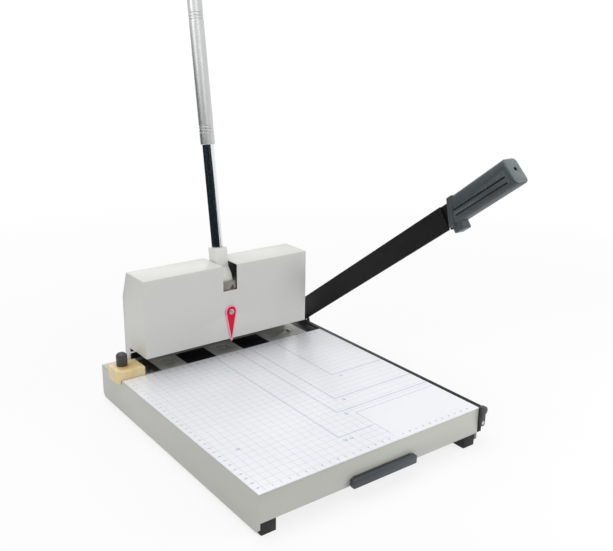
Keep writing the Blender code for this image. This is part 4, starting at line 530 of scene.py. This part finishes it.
def cross_drive(radius, depth):
    """The two cutters of a cross recess, centred on the head's top."""
    long, thin = radius * CROSS_LONG_SHARE, radius * CROSS_THIN_SHARE
    return (block((-long, -thin, -depth), (long, thin, depth)),
            block((-thin, -long, -depth * 0.98), (thin, long, depth * 1.1)))


def hex_drive(radius, depth):
    bm = bmesh.new()
    bmesh.ops.create_cone(bm, cap_ends=True, segments=6, radius1=radius * HEX_SHARE,
                          radius2=radius * HEX_SHARE, depth=depth * 2)
    return (bm,)


def screw(head_radius, head, shank_radius=0.0, length=0.0, drive="cross", domed=True):
    """Screw whose head's seat lies at z = 0 and whose head faces +Z."""
    crown = head * (DOMED_SHARE if domed else FLAT_SHARE)
    profile = [(0, head)]
    for step in range(1, 6):
        turn = math.radians(90 * step / 6)
        profile.append((head_radius * math.sin(turn), head - crown * (1 - math.cos(turn))))
    profile += [(head_radius, head - crown), (head_radius, 0)]
    if length:
        profile += [(shank_radius, 0), (shank_radius, -length)]
    profile.append((0, -length))
    bm = turned(profile, Matrix(), SCREW_STEPS)
    depth = head * RECESS_SHARE
    for recess in hex_drive(head_radius, depth) if drive == "hex" else cross_drive(head_radius, depth):
        bmesh.ops.transform(recess, matrix=Matrix.Translation((0, 0, head)), verts=recess.verts)
        bm = carve(bm, recess)
    return bm


def set_screw(bm, place, axis, roll=0.0):
    turn = Vector(axis).to_track_quat("Z", "Y").to_matrix().to_4x4() @ Matrix.Rotation(roll, 4, "Z")
    bmesh.ops.transform(bm, matrix=place @ turn, verts=bm.verts)
    return bm


def machine_screws():
    """The screws that the frame holds, in their places with real heads."""
    low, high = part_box("pointer_screw")
    middle = (low + high) / 2
    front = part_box("pointer")[0].y
    bm = screw((high.x - low.x) / 2, front - low.y, POINTER_SHANK, high.y - front)
    place = Matrix.Translation((middle.x, front, middle.z))
    add_piece("pointer_screw_finished", set_screw(bm, place, (0, -1, 0), 0.5), "base", "bright_steel",
              stands_for=("pointer_screw",))
    low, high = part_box("deck_screw")
    middle = (low + high) / 2
    seat = high.z - DECK_SCREW_HEAD
    bm = screw((high.x - low.x) / 2, high.z - seat, DECK_SHANK, seat - low.z)
    place = Matrix.Translation((middle.x, middle.y, seat))
    add_piece("deck_screw_finished", set_screw(bm, place, (0, 0, 1), 0.3), "base", "bright_steel",
              stands_for=("deck_screw",))
    for end in ("front", "rear"):
        name = "knife_screw_" + end
        low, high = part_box(name)
        middle = (low + high) / 2
        seat = high.x - ARM_SCREW_HEAD
        bm = screw(ARM_SCREW_RADIUS, ARM_SCREW_HEAD, ARM_SHANK, seat - low.x, "hex")
        place = Matrix.Translation((seat, middle.y, middle.z))
        add_piece(name + "_finished", set_screw(bm, place, (1, 0, 0), 0.2), "knife_arm", "bright_steel",
                  stands_for=(name,))


ARM_SCREW_HEAD = 0.0024
ARM_SCREW_RADIUS = 0.0043
ARM_SCREW_HEIGHT = 0.0275
ARM_SCREW_LENGTHS = (0.1175, 0.190, 0.2625)
BLADE_SCREW_COUNT = 6
BLADE_SCREW_ENDS = (0.040, 0.320)
BLADE_SCREW_HEIGHT = 0.036
BLADE_SCREW_RADIUS = 0.0034
FLUSH = 0.00014
COVER_SCREW_REACH = 0.085
COVER_SCREW_HEIGHTS = (0.062, 0.118)
COVER_SCREW_RADIUS = 0.0035
COVER_SCREW_HEAD = 0.0020
REST_SCREW_INSET = 0.006
REST_SCREW_RADIUS = 0.0028
REST_SCREW_HEAD = 0.0004
POINTER_SHANK = 0.0015
DECK_SHANK = 0.0018
DECK_SCREW_HEAD = 0.0018
ARM_SHANK = 0.0022
SEAT_OFF = 0.00003


def extra_screws():
    """Screws too small for the frame: heads on the arm, the fixed blade, the cover's back and the rest."""
    for number, length in enumerate(ARM_SCREW_LENGTHS, 1):
        across = ARM_HIGH.x - PIVOT.x + SEAT_OFF
        place = ARM_FRAME @ Matrix.Translation((across, -length, ARM_SCREW_HEIGHT))
        bm = set_screw(screw(ARM_SCREW_RADIUS, ARM_SCREW_HEAD, drive="hex"), place, (1, 0, 0), number * 0.7)
        add_piece(f"knife_screw_middle_{number}", bm, "knife_arm", "bright_steel")
    first, last = (TRAY_LOW.y + place for place in BLADE_SCREW_ENDS)
    for index in range(BLADE_SCREW_COUNT):
        y = first + (last - first) * index / (BLADE_SCREW_COUNT - 1)
        place = Matrix.Translation((BLADE_HIGH.x + SEAT_OFF, y, BLADE_SCREW_HEIGHT))
        bm = set_screw(screw(BLADE_SCREW_RADIUS, FLUSH, domed=False), place, (1, 0, 0), index * 0.9)
        add_piece(f"blade_screw_{index + 1}", bm, "base", "bright_steel")
    middle = (COVER_LOW.x + COVER_HIGH.x) / 2
    for side, name in ((-1, "left"), (1, "right")):
        for height, level in zip(COVER_SCREW_HEIGHTS, ("low", "high")):
            place = Matrix.Translation((middle + side * COVER_SCREW_REACH, COVER_HIGH.y + SEAT_OFF, height))
            bm = set_screw(screw(COVER_SCREW_RADIUS, COVER_SCREW_HEAD), place, (0, 1, 0), side + height * 20)
            add_piece(f"cover_screw_{name}_{level}", bm, "base", "bright_steel")
    low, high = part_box("rest_plate")
    for y, end in ((low.y + REST_SCREW_INSET, "front"), (high.y - REST_SCREW_INSET, "rear")):
        place = Matrix.Translation(((low.x + high.x) / 2, y, high.z + SEAT_OFF))
        bm = set_screw(screw(REST_SCREW_RADIUS, REST_SCREW_HEAD, domed=False), place, (0, 0, 1), y * 30)
        add_piece(f"rest_screw_{end}", bm, "base", "bright_steel")


# Punch lever, in lengths from its shaft along its own axis
TUBE_RADIUS = 0.0075
GRIP_RADIUS = 0.0092
GRIP_START = 0.181
GRIP_END = 0.357
LEVER_END = 0.361
SEAT_TOP = 0.0483
GROOVE_COUNT = 3
GROOVE_PITCH = 0.0038
GROOVE_HALF = 0.0008
GROOVE_DEPTH = 0.0005
GROOVE_MARGIN = 0.0155
SEAT_ROUND = 0.0011
SPIGOT_RADIUS = 0.006
SPIGOT_FOOT = SEAT_TOP - 0.020
SPIGOT_TOP = SEAT_TOP + 0.0002
TUBE_FOOT = SEAT_TOP + 0.0003
TUBE_CHAMFER = 0.0006
TUBE_CHAMFER_TOP = SEAT_TOP + 0.0009
TUBE_TOP = GRIP_END - 0.017
TUBE_BORE = 0.0056
GRIP_BORE = TUBE_RADIUS + 0.0003
GRIP_CHAMFER = 0.0004
GRIP_START_CHAMFER = 0.0008
CAP_FACE_INSET = 0.0030
CAP_EDGE_DROP = 0.0012
CAP_FOOT = GRIP_END + 0.0003
CAP_ROUND = 0.0006
PLUG_RADIUS = TUBE_RADIUS - 0.0024
PLUG_FOOT = GRIP_END - 0.028


def lever():
    """Seat, chrome tube, ringed grip and its cap."""
    refine("lever_seat", SEAT_ROUND, 3)
    tube = [(SPIGOT_RADIUS, SPIGOT_FOOT), (SPIGOT_RADIUS, SPIGOT_TOP), (TUBE_RADIUS - TUBE_CHAMFER, TUBE_FOOT),
            (TUBE_RADIUS, TUBE_CHAMFER_TOP), (TUBE_RADIUS, TUBE_TOP), (TUBE_BORE, TUBE_TOP)]
    add_piece("lever_tube_finished", turned(tube, LEVER_FRAME), "punch_lever", "chrome",
              stands_for=("lever_tube",))
    grip = [(GRIP_BORE, GRIP_END), (GRIP_RADIUS - GRIP_CHAMFER, GRIP_END)]
    starts = (GRIP_END - GROOVE_MARGIN, GRIP_START + GROOVE_MARGIN + (GROOVE_COUNT - 1) * GROOVE_PITCH)
    grip.append((GRIP_RADIUS, GRIP_END - GRIP_CHAMFER))
    for first in starts:
        for index in range(GROOVE_COUNT):
            middle = first - index * GROOVE_PITCH
            grip += [(GRIP_RADIUS, middle + GROOVE_HALF),
                     (GRIP_RADIUS - GROOVE_DEPTH, middle + GROOVE_HALF / 2),
                     (GRIP_RADIUS - GROOVE_DEPTH, middle - GROOVE_HALF / 2),
                     (GRIP_RADIUS, middle - GROOVE_HALF)]
    grip += [(GRIP_RADIUS, GRIP_START + GRIP_START_CHAMFER), (GRIP_RADIUS - GRIP_START_CHAMFER, GRIP_START),
             (GRIP_BORE, GRIP_START), (GRIP_BORE, GRIP_END)]
    add_piece("lever_grip_finished", turned(grip, LEVER_FRAME), "punch_lever", "satin_aluminium",
              stands_for=("lever_grip",), smooth=math.radians(30))
    cap = [(0, LEVER_END), (GRIP_RADIUS - CAP_FACE_INSET, LEVER_END),
           (GRIP_RADIUS - GRIP_CHAMFER, LEVER_END - CAP_EDGE_DROP), (GRIP_RADIUS, CAP_FOOT),
           (PLUG_RADIUS, CAP_FOOT), (PLUG_RADIUS, PLUG_FOOT), (0, PLUG_FOOT)]
    add_piece("grip_cap_finished", turned(round_corners(cap, CAP_ROUND), LEVER_FRAME), "punch_lever",
              "charcoal_plastic", stands_for=("grip_cap",))


# Handle of the knife arm, in lengths from the pivot and heights above it
GROOVE_FROM, GROOVE_TO = 0.3755, 0.4595
GROOVE_HEIGHTS = (0.0258, 0.0190)
GROOVE_WIDTH = 0.0021
GROOVE_SINK = 0.0010
HANDLE_WIDTH = 0.0215
HANDLE_SOFT = 0.0005
CUT_PAST = 0.002


def handle():
    """The moulded handle: the frame's shape with rounded edges and two grooves in each side, with painted
    shade in the grooves and a painted highlight on the end face.
    """
    bm = merged_copy("arm_handle")
    soften(bm, HANDLE_SOFT, 2)
    half = HANDLE_WIDTH / 2
    cutters = bmesh.new()
    for side in (-1, 1):
        for height in GROOVE_HEIGHTS:
            reach = sorted((side * (half - GROOVE_SINK), side * (half + CUT_PAST)))
            low = (MIDDLE_OF_ARM + reach[0], -GROOVE_TO, height - GROOVE_WIDTH / 2)
            high = (MIDDLE_OF_ARM + reach[1], -GROOVE_FROM, height + GROOVE_WIDTH / 2)
            join(cutters, block(low, high, ARM_FRAME))
    bm = carve(bm, cutters)
    piece = add_piece("arm_handle_finished", bm, "knife_arm", "slate_plastic",
                      (FINISHES["slate_plastic"], GROOVE_PAINTED_SHADE, END_PAINTED_LIGHT), ("arm_handle",))
    unturn = ARM_FRAME.inverted()
    for face in piece.data.polygons:
        centre = unturn @ face.center
        across, along = abs(centre.x - MIDDLE_OF_ARM), -centre.y
        in_groove = any(abs(centre.z - height) < GROOVE_WIDTH * 0.6 for height in GROOVE_HEIGHTS)
        facing = face.normal.dot(ARM_FRAME.to_3x3() @ Vector((0, -1, 0)))
        # Faces inside the grooves take the painted shade
        if in_groove and across < half - 0.0002 and GROOVE_FROM - 0.0005 < along < GROOVE_TO + 0.0005:
            face.material_index = 1
        # The end face takes the painted highlight
        elif facing > 0.5 and along > GROOVE_TO:
            face.material_index = 2


def knife():
    """The blade, black but for its ground edge."""
    bm = merged_copy("knife")
    soften(bm, 0.00012, 1)
    piece = add_piece("knife_finished", bm, "knife_arm", "black_steel",
                      (FINISHES["black_steel"], GROUND_STEEL), ("knife",), math.radians(12))
    unturn = ARM_FRAME.inverted()
    for face in piece.data.polygons:
        centre = unturn @ face.center
        flat = abs(face.normal.x) > 0.999
        if not flat and centre.z < 0.0132 and -centre.y > 0.016:
            face.material_index = 1


POINTER_RIM = 0.0014


def pointer():
    """Red drop with a pink border, on the cover's front."""
    bm = merged_copy("pointer")
    faces = [face for face in bm.faces if face.normal.y < -0.9]
    bmesh.ops.dissolve_faces(bm, faces=faces)
    front = [face for face in bm.faces if face.normal.y < -0.9]
    rims = bmesh.ops.inset_region(bm, faces=front, thickness=POINTER_RIM, use_even_offset=True)["faces"]
    for face in rims:
        face.material_index = 1
    for face in bm.faces:
        if abs(face.normal.y) < 0.5:
            face.material_index = 1
    return add_piece("pointer_finished", bm, "base", "red_plastic",
                     (FINISHES["red_plastic"], POINTER_BORDER), ("pointer",))


KNOB_DOME = 0.005
KNOB_CHAMFER = 0.0006
KNOB_SCREW_RADIUS = 0.002
KNOB_GAP = 0.0003
DOME_STEPS = 12


def knob():
    """Clamp knob with a domed top, and its screw."""
    low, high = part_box("clamp_knob")
    middle = (low + high) / 2
    radius = (high.x - low.x) / 2
    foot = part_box("margin_stop")[1].z + KNOB_GAP
    dome = high.z - KNOB_DOME
    turns = [math.pi / 2 * step / DOME_STEPS for step in range(DOME_STEPS + 1)]
    profile = [(radius * math.sin(turn), dome + KNOB_DOME * math.cos(turn)) for turn in turns]
    profile += [(radius, foot + 3 * KNOB_CHAMFER), (radius, foot + KNOB_CHAMFER),
                (radius - KNOB_CHAMFER, foot), (KNOB_SCREW_RADIUS, foot), (KNOB_SCREW_RADIUS, low.z),
                (0, low.z)]
    bm = turned(profile, Matrix.Translation((middle.x, middle.y, 0)))
    add_piece("clamp_knob_finished", bm, "stop_knob", "charcoal_plastic", stands_for=("clamp_knob",))


# Springs
SPRING_TURNS = 7
SPRING_WIRE = 0.0008
SPRING_RADIUS = 0.0057
TURN_POINTS = 32


def springs():
    """Coils round the guide rods, made at their length in the frame; the real springs shorten as the carriage
    comes down.
    """
    for side in ("left", "right"):
        name = "return_spring_" + side
        low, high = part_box(name)
        middle = (low + high) / 2
        bm = bmesh.new()
        ring = bmesh.ops.create_circle(bm, cap_ends=True, segments=10, radius=SPRING_WIRE)["verts"]
        bmesh.ops.transform(bm, matrix=Matrix.Translation((SPRING_RADIUS, 0, SPRING_WIRE)) @
                            Matrix.Rotation(math.pi / 2, 4, "X"), verts=ring)
        rise = (high.z - low.z - 2 * SPRING_WIRE) / (SPRING_TURNS * TURN_POINTS)
        bmesh.ops.spin(bm, geom=bm.verts[:] + bm.edges[:] + bm.faces[:], cent=(0, 0, 0), axis=(0, 0, 1),
                       dvec=(0, 0, rise), angle=math.tau * SPRING_TURNS, steps=SPRING_TURNS * TURN_POINTS)
        bmesh.ops.transform(bm, matrix=Matrix.Translation((middle.x, middle.y, low.z)), verts=bm.verts)
        piece = add_piece(name + "_finished", bm, "base", "bright_steel", stands_for=(name,))
        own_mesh(piece)


# Printed lines and numbers on the plate

INK_LIFT = 0.00004
LINE_WIDTH = 0.0006
OUTLINE_CORNERS = ((0.1278, 0.260, 0.176), (0.1625, 0.215, 0.304),
                   (0.182, 0.186, 0.304), (0.2206, 0.133, 0.304))
DIGIT_SIZE = 0.0029
DIGIT_REAR, DIGIT_FRONT, DIGIT_LEFT = 0.0075, 0.0065, 0.0055
LAST_DIGIT = 29
LABEL_SIZE = 0.0052
LABELS = ((0.0225, 0.216, "10"), (0.1295, 0.266, "25  13"), (0.1645, 0.2205, "21"), (0.184, 0.1915, "18"),
          (0.2225, 0.1385, "13"))


def ink_strip(bm, left, rear, right, front):
    """A printed line between two corners, given from the plate's left and rear edges."""
    top = PLATE_HIGH.z
    join(bm, block((PLATE_LOW.x + left, PLATE_HIGH.y - front, top + INK_LIFT / 2),
                   (PLATE_LOW.x + right, PLATE_HIGH.y - rear, top + INK_LIFT)))


def outlines():
    """L-shaped outlines of the paper sizes, and the frame of the bare box."""
    bm = bmesh.new()
    half = LINE_WIDTH / 2
    width = PLATE_HIGH.x - PLATE_LOW.x
    for x, y, end in OUTLINE_CORNERS:
        ink_strip(bm, x - half, OUTLINE_REAR, x + half, y)
        ink_strip(bm, x - half, y - half, min(end, width - PRINT_MARGIN), y + half)
    thin = half * 0.6
    ink_strip(bm, BARE_BOX_LEFT - thin, BARE_BOX_REAR, BARE_BOX_LEFT + thin, BARE_BOX_FRONT)
    ink_strip(bm, BARE_BOX_LEFT, BARE_BOX_REAR - thin, width - PRINT_MARGIN, BARE_BOX_REAR + thin)
    add_piece("paper_outlines", bm, "base", "printed_white", (LINE_INK,))


def text_mesh(words, size, place):
    """Flat figures as a bmesh, centred on their place."""
    curve = bpy.data.curves.new("figure", "FONT")
    curve.body = words
    curve.size = size
    curve.align_x = "CENTER"
    curve.align_y = "CENTER"
    curve.resolution_u = 3
    writing = bpy.data.objects.new("figure", curve)
    bpy.context.scene.collection.objects.link(writing)
    bpy.context.view_layer.update()
    mesh = bpy.data.meshes.new_from_object(writing.evaluated_get(bpy.context.evaluated_depsgraph_get()))
    bpy.data.objects.remove(writing)
    bpy.data.curves.remove(curve)
    mesh.transform(place)
    bm = bmesh.new()
    bm.from_mesh(mesh)
    bpy.data.meshes.remove(mesh)
    return bm


def figures():
    """Small centimetre numbers along the left, front and rear edges, and plain numbers at the outlines."""
    top = PLATE_HIGH.z + INK_LIFT
    digits = bmesh.new()
    for number in range(1, LAST_DIGIT + 1):
        rear = Matrix.Translation((PLATE_LOW.x + number * GRID_PITCH, PLATE_HIGH.y - DIGIT_REAR, top))
        join(digits, text_mesh(str(number), DIGIT_SIZE, rear))
        if number * GRID_PITCH < BARE_BOX_LEFT or number > 18:
            front = Matrix.Translation((PLATE_LOW.x + number * GRID_PITCH, PLATE_LOW.y + DIGIT_FRONT, top))
            join(digits, text_mesh(str(number), DIGIT_SIZE, front))
        left = Matrix.Translation((PLATE_LOW.x + DIGIT_LEFT, PLATE_HIGH.y - number * GRID_PITCH, top))
        join(digits, text_mesh(str(number), DIGIT_SIZE, left))
    add_piece("edge_numbers", digits, "base", "printed_white", (DIGIT_INK,))
    labels = bmesh.new()
    for left, rear, words in LABELS:
        across, along = PLATE_LOW.x + left + LABEL_SIZE, PLATE_HIGH.y - rear - LABEL_SIZE / 2
        place = Matrix.Translation((across, along, top))
        join(labels, text_mesh(words, LABEL_SIZE, place))
    add_piece("outline_numbers", labels, "base", "printed_white", (LABEL_INK,))


# Pieces made from the frame's own shapes: width of their rounded edges
ROUNDED = {
    "tray": 0.0003, "die_bar": 0.0003, "rest_plate": 0.0002, "back_plate": 0.0003, "end_plate_left": 0.0004,
    "end_plate_right": 0.0004, "guide_plate": 0.0002, "fixed_blade": 0.0004, "pivot_block": 0.0006,
    "drawer_rails": 0.0002, "pad_drawer": 0.0002, "press_bar": 0.0003, "rack_left": 0.0, "rack_right": 0.0,
    "window_plate": 0.0003, "stop_nut_plate": 0.0003, "arm_bar": 0.0005, "margin_stop": 0.0011,
    "safety_catch": 0.0007, "drawer_pull": 0.0006, "printed_plate": 0.0002, "punch_cover": 0.0002,
    "foot_front_left": 0.0006, "foot_front_right": 0.0006, "foot_rear_left": 0.0006,
    "foot_rear_right": 0.0006,
}
OTHER_FINISH = {"die_bar": BLACKED_STEEL, "back_plate": BLACKED_STEEL, "guide_plate": BLACKED_STEEL,
                "punch_pad_left": PAD_PALE, "punch_pad_center": PAD_PALE, "punch_pad_right": PAD_PALE}
MADE_ANEW = {"lever_seat", "lever_tube", "lever_grip", "grip_cap", "arm_handle", "knife", "pointer",
             "clamp_knob", "return_spring_left", "return_spring_right", "pointer_screw", "deck_screw",
             "knife_screw_front", "knife_screw_rear"}


def dress_frame():
    """Every CAD node gets its finish; most also get fine rounded edges."""
    for name, obj in frame["nodes"].items():
        material = FINISHES[SLOT_OF[name]]
        if obj.material_slots:
            for slot in obj.material_slots:
                slot.material = material
        else:
            obj.data.materials.append(material)
        if name not in MADE_ANEW:
            refine(name, ROUNDED.get(name, 0.0))


# Studio

FLOOR_RADIUS = 6.0
FLOOR_DROP = 0.0002
FLOOR_FADE = (0.35, 1.3)
FLOOR_SHADE = 0.80
CARD_DISTANCE = 0.62
CARD_FOOT = 0.002
CARD_HEIGHT = 0.43
CARD_STEPS = 32
CARD_REACH = (-133, 62)


def seen_white(tree):
    """Rays that see the white background: the camera's, mirrored ones and those through clear things."""
    ray = node(tree, "ShaderNodeLightPath").outputs
    mirrored = math_node(tree, "MAXIMUM", ray["Is Camera Ray"], ray["Is Glossy Ray"])
    return math_node(tree, "MAXIMUM", mirrored, ray["Is Transmission Ray"])


def floor():
    bm = bmesh.new()
    bmesh.ops.create_circle(bm, cap_ends=True, segments=96, radius=FLOOR_RADIUS)
    mesh = bpy.data.meshes.new("studio_floor")
    bm.to_mesh(mesh)
    bm.free()
    material = bpy.data.materials.new("floor_white")
    material.use_nodes = True
    tree = material.node_tree
    tree.nodes.clear()
    paper = node(tree, "ShaderNodeBsdfDiffuse", {"Color": (0.86, 0.86, 0.86, 1)}).outputs[0]
    white = node(tree, "ShaderNodeEmission", {"Color": (1, 1, 1, 1), "Strength": 1.0}).outputs[0]
    seen = seen_white(tree)
    place = node(tree, "ShaderNodeTexCoord").outputs["Object"]
    far = node(tree, "ShaderNodeVectorMath", {0: place}, operation="LENGTH").outputs["Value"]
    share = spread(tree, far, *FLOOR_FADE, FLOOR_SHADE, 1.0)
    shown = math_node(tree, "MULTIPLY", share, seen)
    mixed = node(tree, "ShaderNodeMixShader", {0: shown, 1: paper, 2: white})
    node(tree, "ShaderNodeOutputMaterial", {0: mixed.outputs[0]})
    mesh.materials.append(material)
    obj = bpy.data.objects.new("studio_floor", mesh)
    obj.location.z = -FLOOR_DROP
    bpy.context.scene.collection.objects.link(obj)


def dark_card():
    """A curved card at the left and in front, which only shiny surfaces mirror."""
    bm = bmesh.new()
    heading = math.pi / 2 - VIEW_AZIMUTH + math.pi
    first, last = (heading + math.radians(turn) for turn in CARD_REACH)
    foot = bm.verts.new((CARD_DISTANCE * math.cos(first), CARD_DISTANCE * math.sin(first), CARD_FOOT))
    head = bm.verts.new((foot.co.x, foot.co.y, CARD_HEIGHT))
    edge = bm.edges.new((foot, head))
    bmesh.ops.spin(bm, geom=[foot, head, edge], cent=(0, 0, 0), axis=(0, 0, 1), angle=last - first,
                   steps=CARD_STEPS)
    bmesh.ops.transform(bm, matrix=Matrix.Translation((SHAFT.x, SHAFT.y, 0)), verts=bm.verts)
    mesh = bpy.data.meshes.new("dark_card")
    bm.to_mesh(mesh)
    bm.free()
    material = bpy.data.materials.new("card_dark")
    material.use_nodes = True
    tree = material.node_tree
    tree.nodes.clear()
    shade = node(tree, "ShaderNodeEmission", {"Color": (0.012, 0.018, 0.022, 1), "Strength": 1.0}).outputs[0]
    node(tree, "ShaderNodeOutputMaterial", {0: shade})
    mesh.materials.append(material)
    obj = bpy.data.objects.new("dark_card", mesh)
    obj.visible_camera = False
    obj.visible_diffuse = False
    obj.visible_shadow = False
    bpy.context.scene.collection.objects.link(obj)


def lamp(name, place, size, target, power, mirrored=True):
    light = bpy.data.lights.new(name, "AREA")
    light.shape = "RECTANGLE"
    light.size, light.size_y = size
    light.energy = power
    obj = bpy.data.objects.new(name, light)
    obj.visible_glossy = mirrored
    obj.location = place
    obj.rotation_euler = (Vector(target) - Vector(place)).to_track_quat("-Z", "Y").to_euler()
    bpy.context.scene.collection.objects.link(obj)


def studio():
    world = bpy.data.worlds.new("studio_air")
    bpy.context.scene.world = world
    world.use_nodes = True
    tree = world.node_tree
    tree.nodes.clear()
    seen = seen_white(tree)
    air = node(tree, "ShaderNodeBackground", {"Color": (0.97, 0.98, 1.0, 1), "Strength": WORLD_LIGHT})
    white = node(tree, "ShaderNodeBackground", {"Color": (1, 1, 1, 1), "Strength": 1.0})
    mixed = node(tree, "ShaderNodeMixShader", {0: seen, 1: air.outputs[0], 2: white.outputs[0]})
    node(tree, "ShaderNodeOutputWorld", {0: mixed.outputs[0]})
    for values in LAMPS:
        lamp(*values)
    floor()
    dark_card()


WORLD_LIGHT = 0.42
LAMPS = (("top_softbox", (-0.25, 0.20, 1.7), (1.5, 1.2), (0.0, 0.0, 0.1), 15.0),
         ("right_softbox", (0.55, -0.66, 0.42), (0.5, 0.4), (0.1, -0.16, 0.03), 2.4, False),
         ("front_softbox", (-0.3, -2.0, 0.9), (1.4, 0.9), (0.0, 0.0, 0.1), 4.5),
         ("left_softbox", (-1.8, 0.1, 0.75), (1.0, 1.0), (0.0, 0.0, 0.1), 5.5),
         ("back_fill", (0.6, 1.7, 0.9), (1.2, 1.0), (0.0, 0.0, 0.1), 3.0))


def camera():
    eye = bpy.data.cameras.new("photo_view")
    eye.lens = LENS
    eye.sensor_width = SENSOR
    eye.sensor_fit = "HORIZONTAL"
    eye.clip_start = 0.05
    obj = bpy.data.objects.new("photo_view", eye)
    turn = (Matrix.Rotation(-VIEW_AZIMUTH, 4, "Z") @ Matrix.Rotation(math.pi / 2 - VIEW_ELEVATION, 4, "X")
            @ Matrix.Rotation(VIEW_ROLL, 4, "Z"))
    corner = Vector((TRAY_LOW.x, TRAY_LOW.y, 0))
    obj.matrix_world = Matrix.Translation(corner + EYE_FROM_CORNER) @ turn
    bpy.context.scene.collection.objects.link(obj)
    bpy.context.scene.camera = obj


camera()
studio()
dress_frame()
lever()
handle()
knife()
pointer()
knob()
springs()
machine_screws()
extra_screws()
outlines()
figures()
bpy.context.scene.view_settings.view_transform = "Standard"
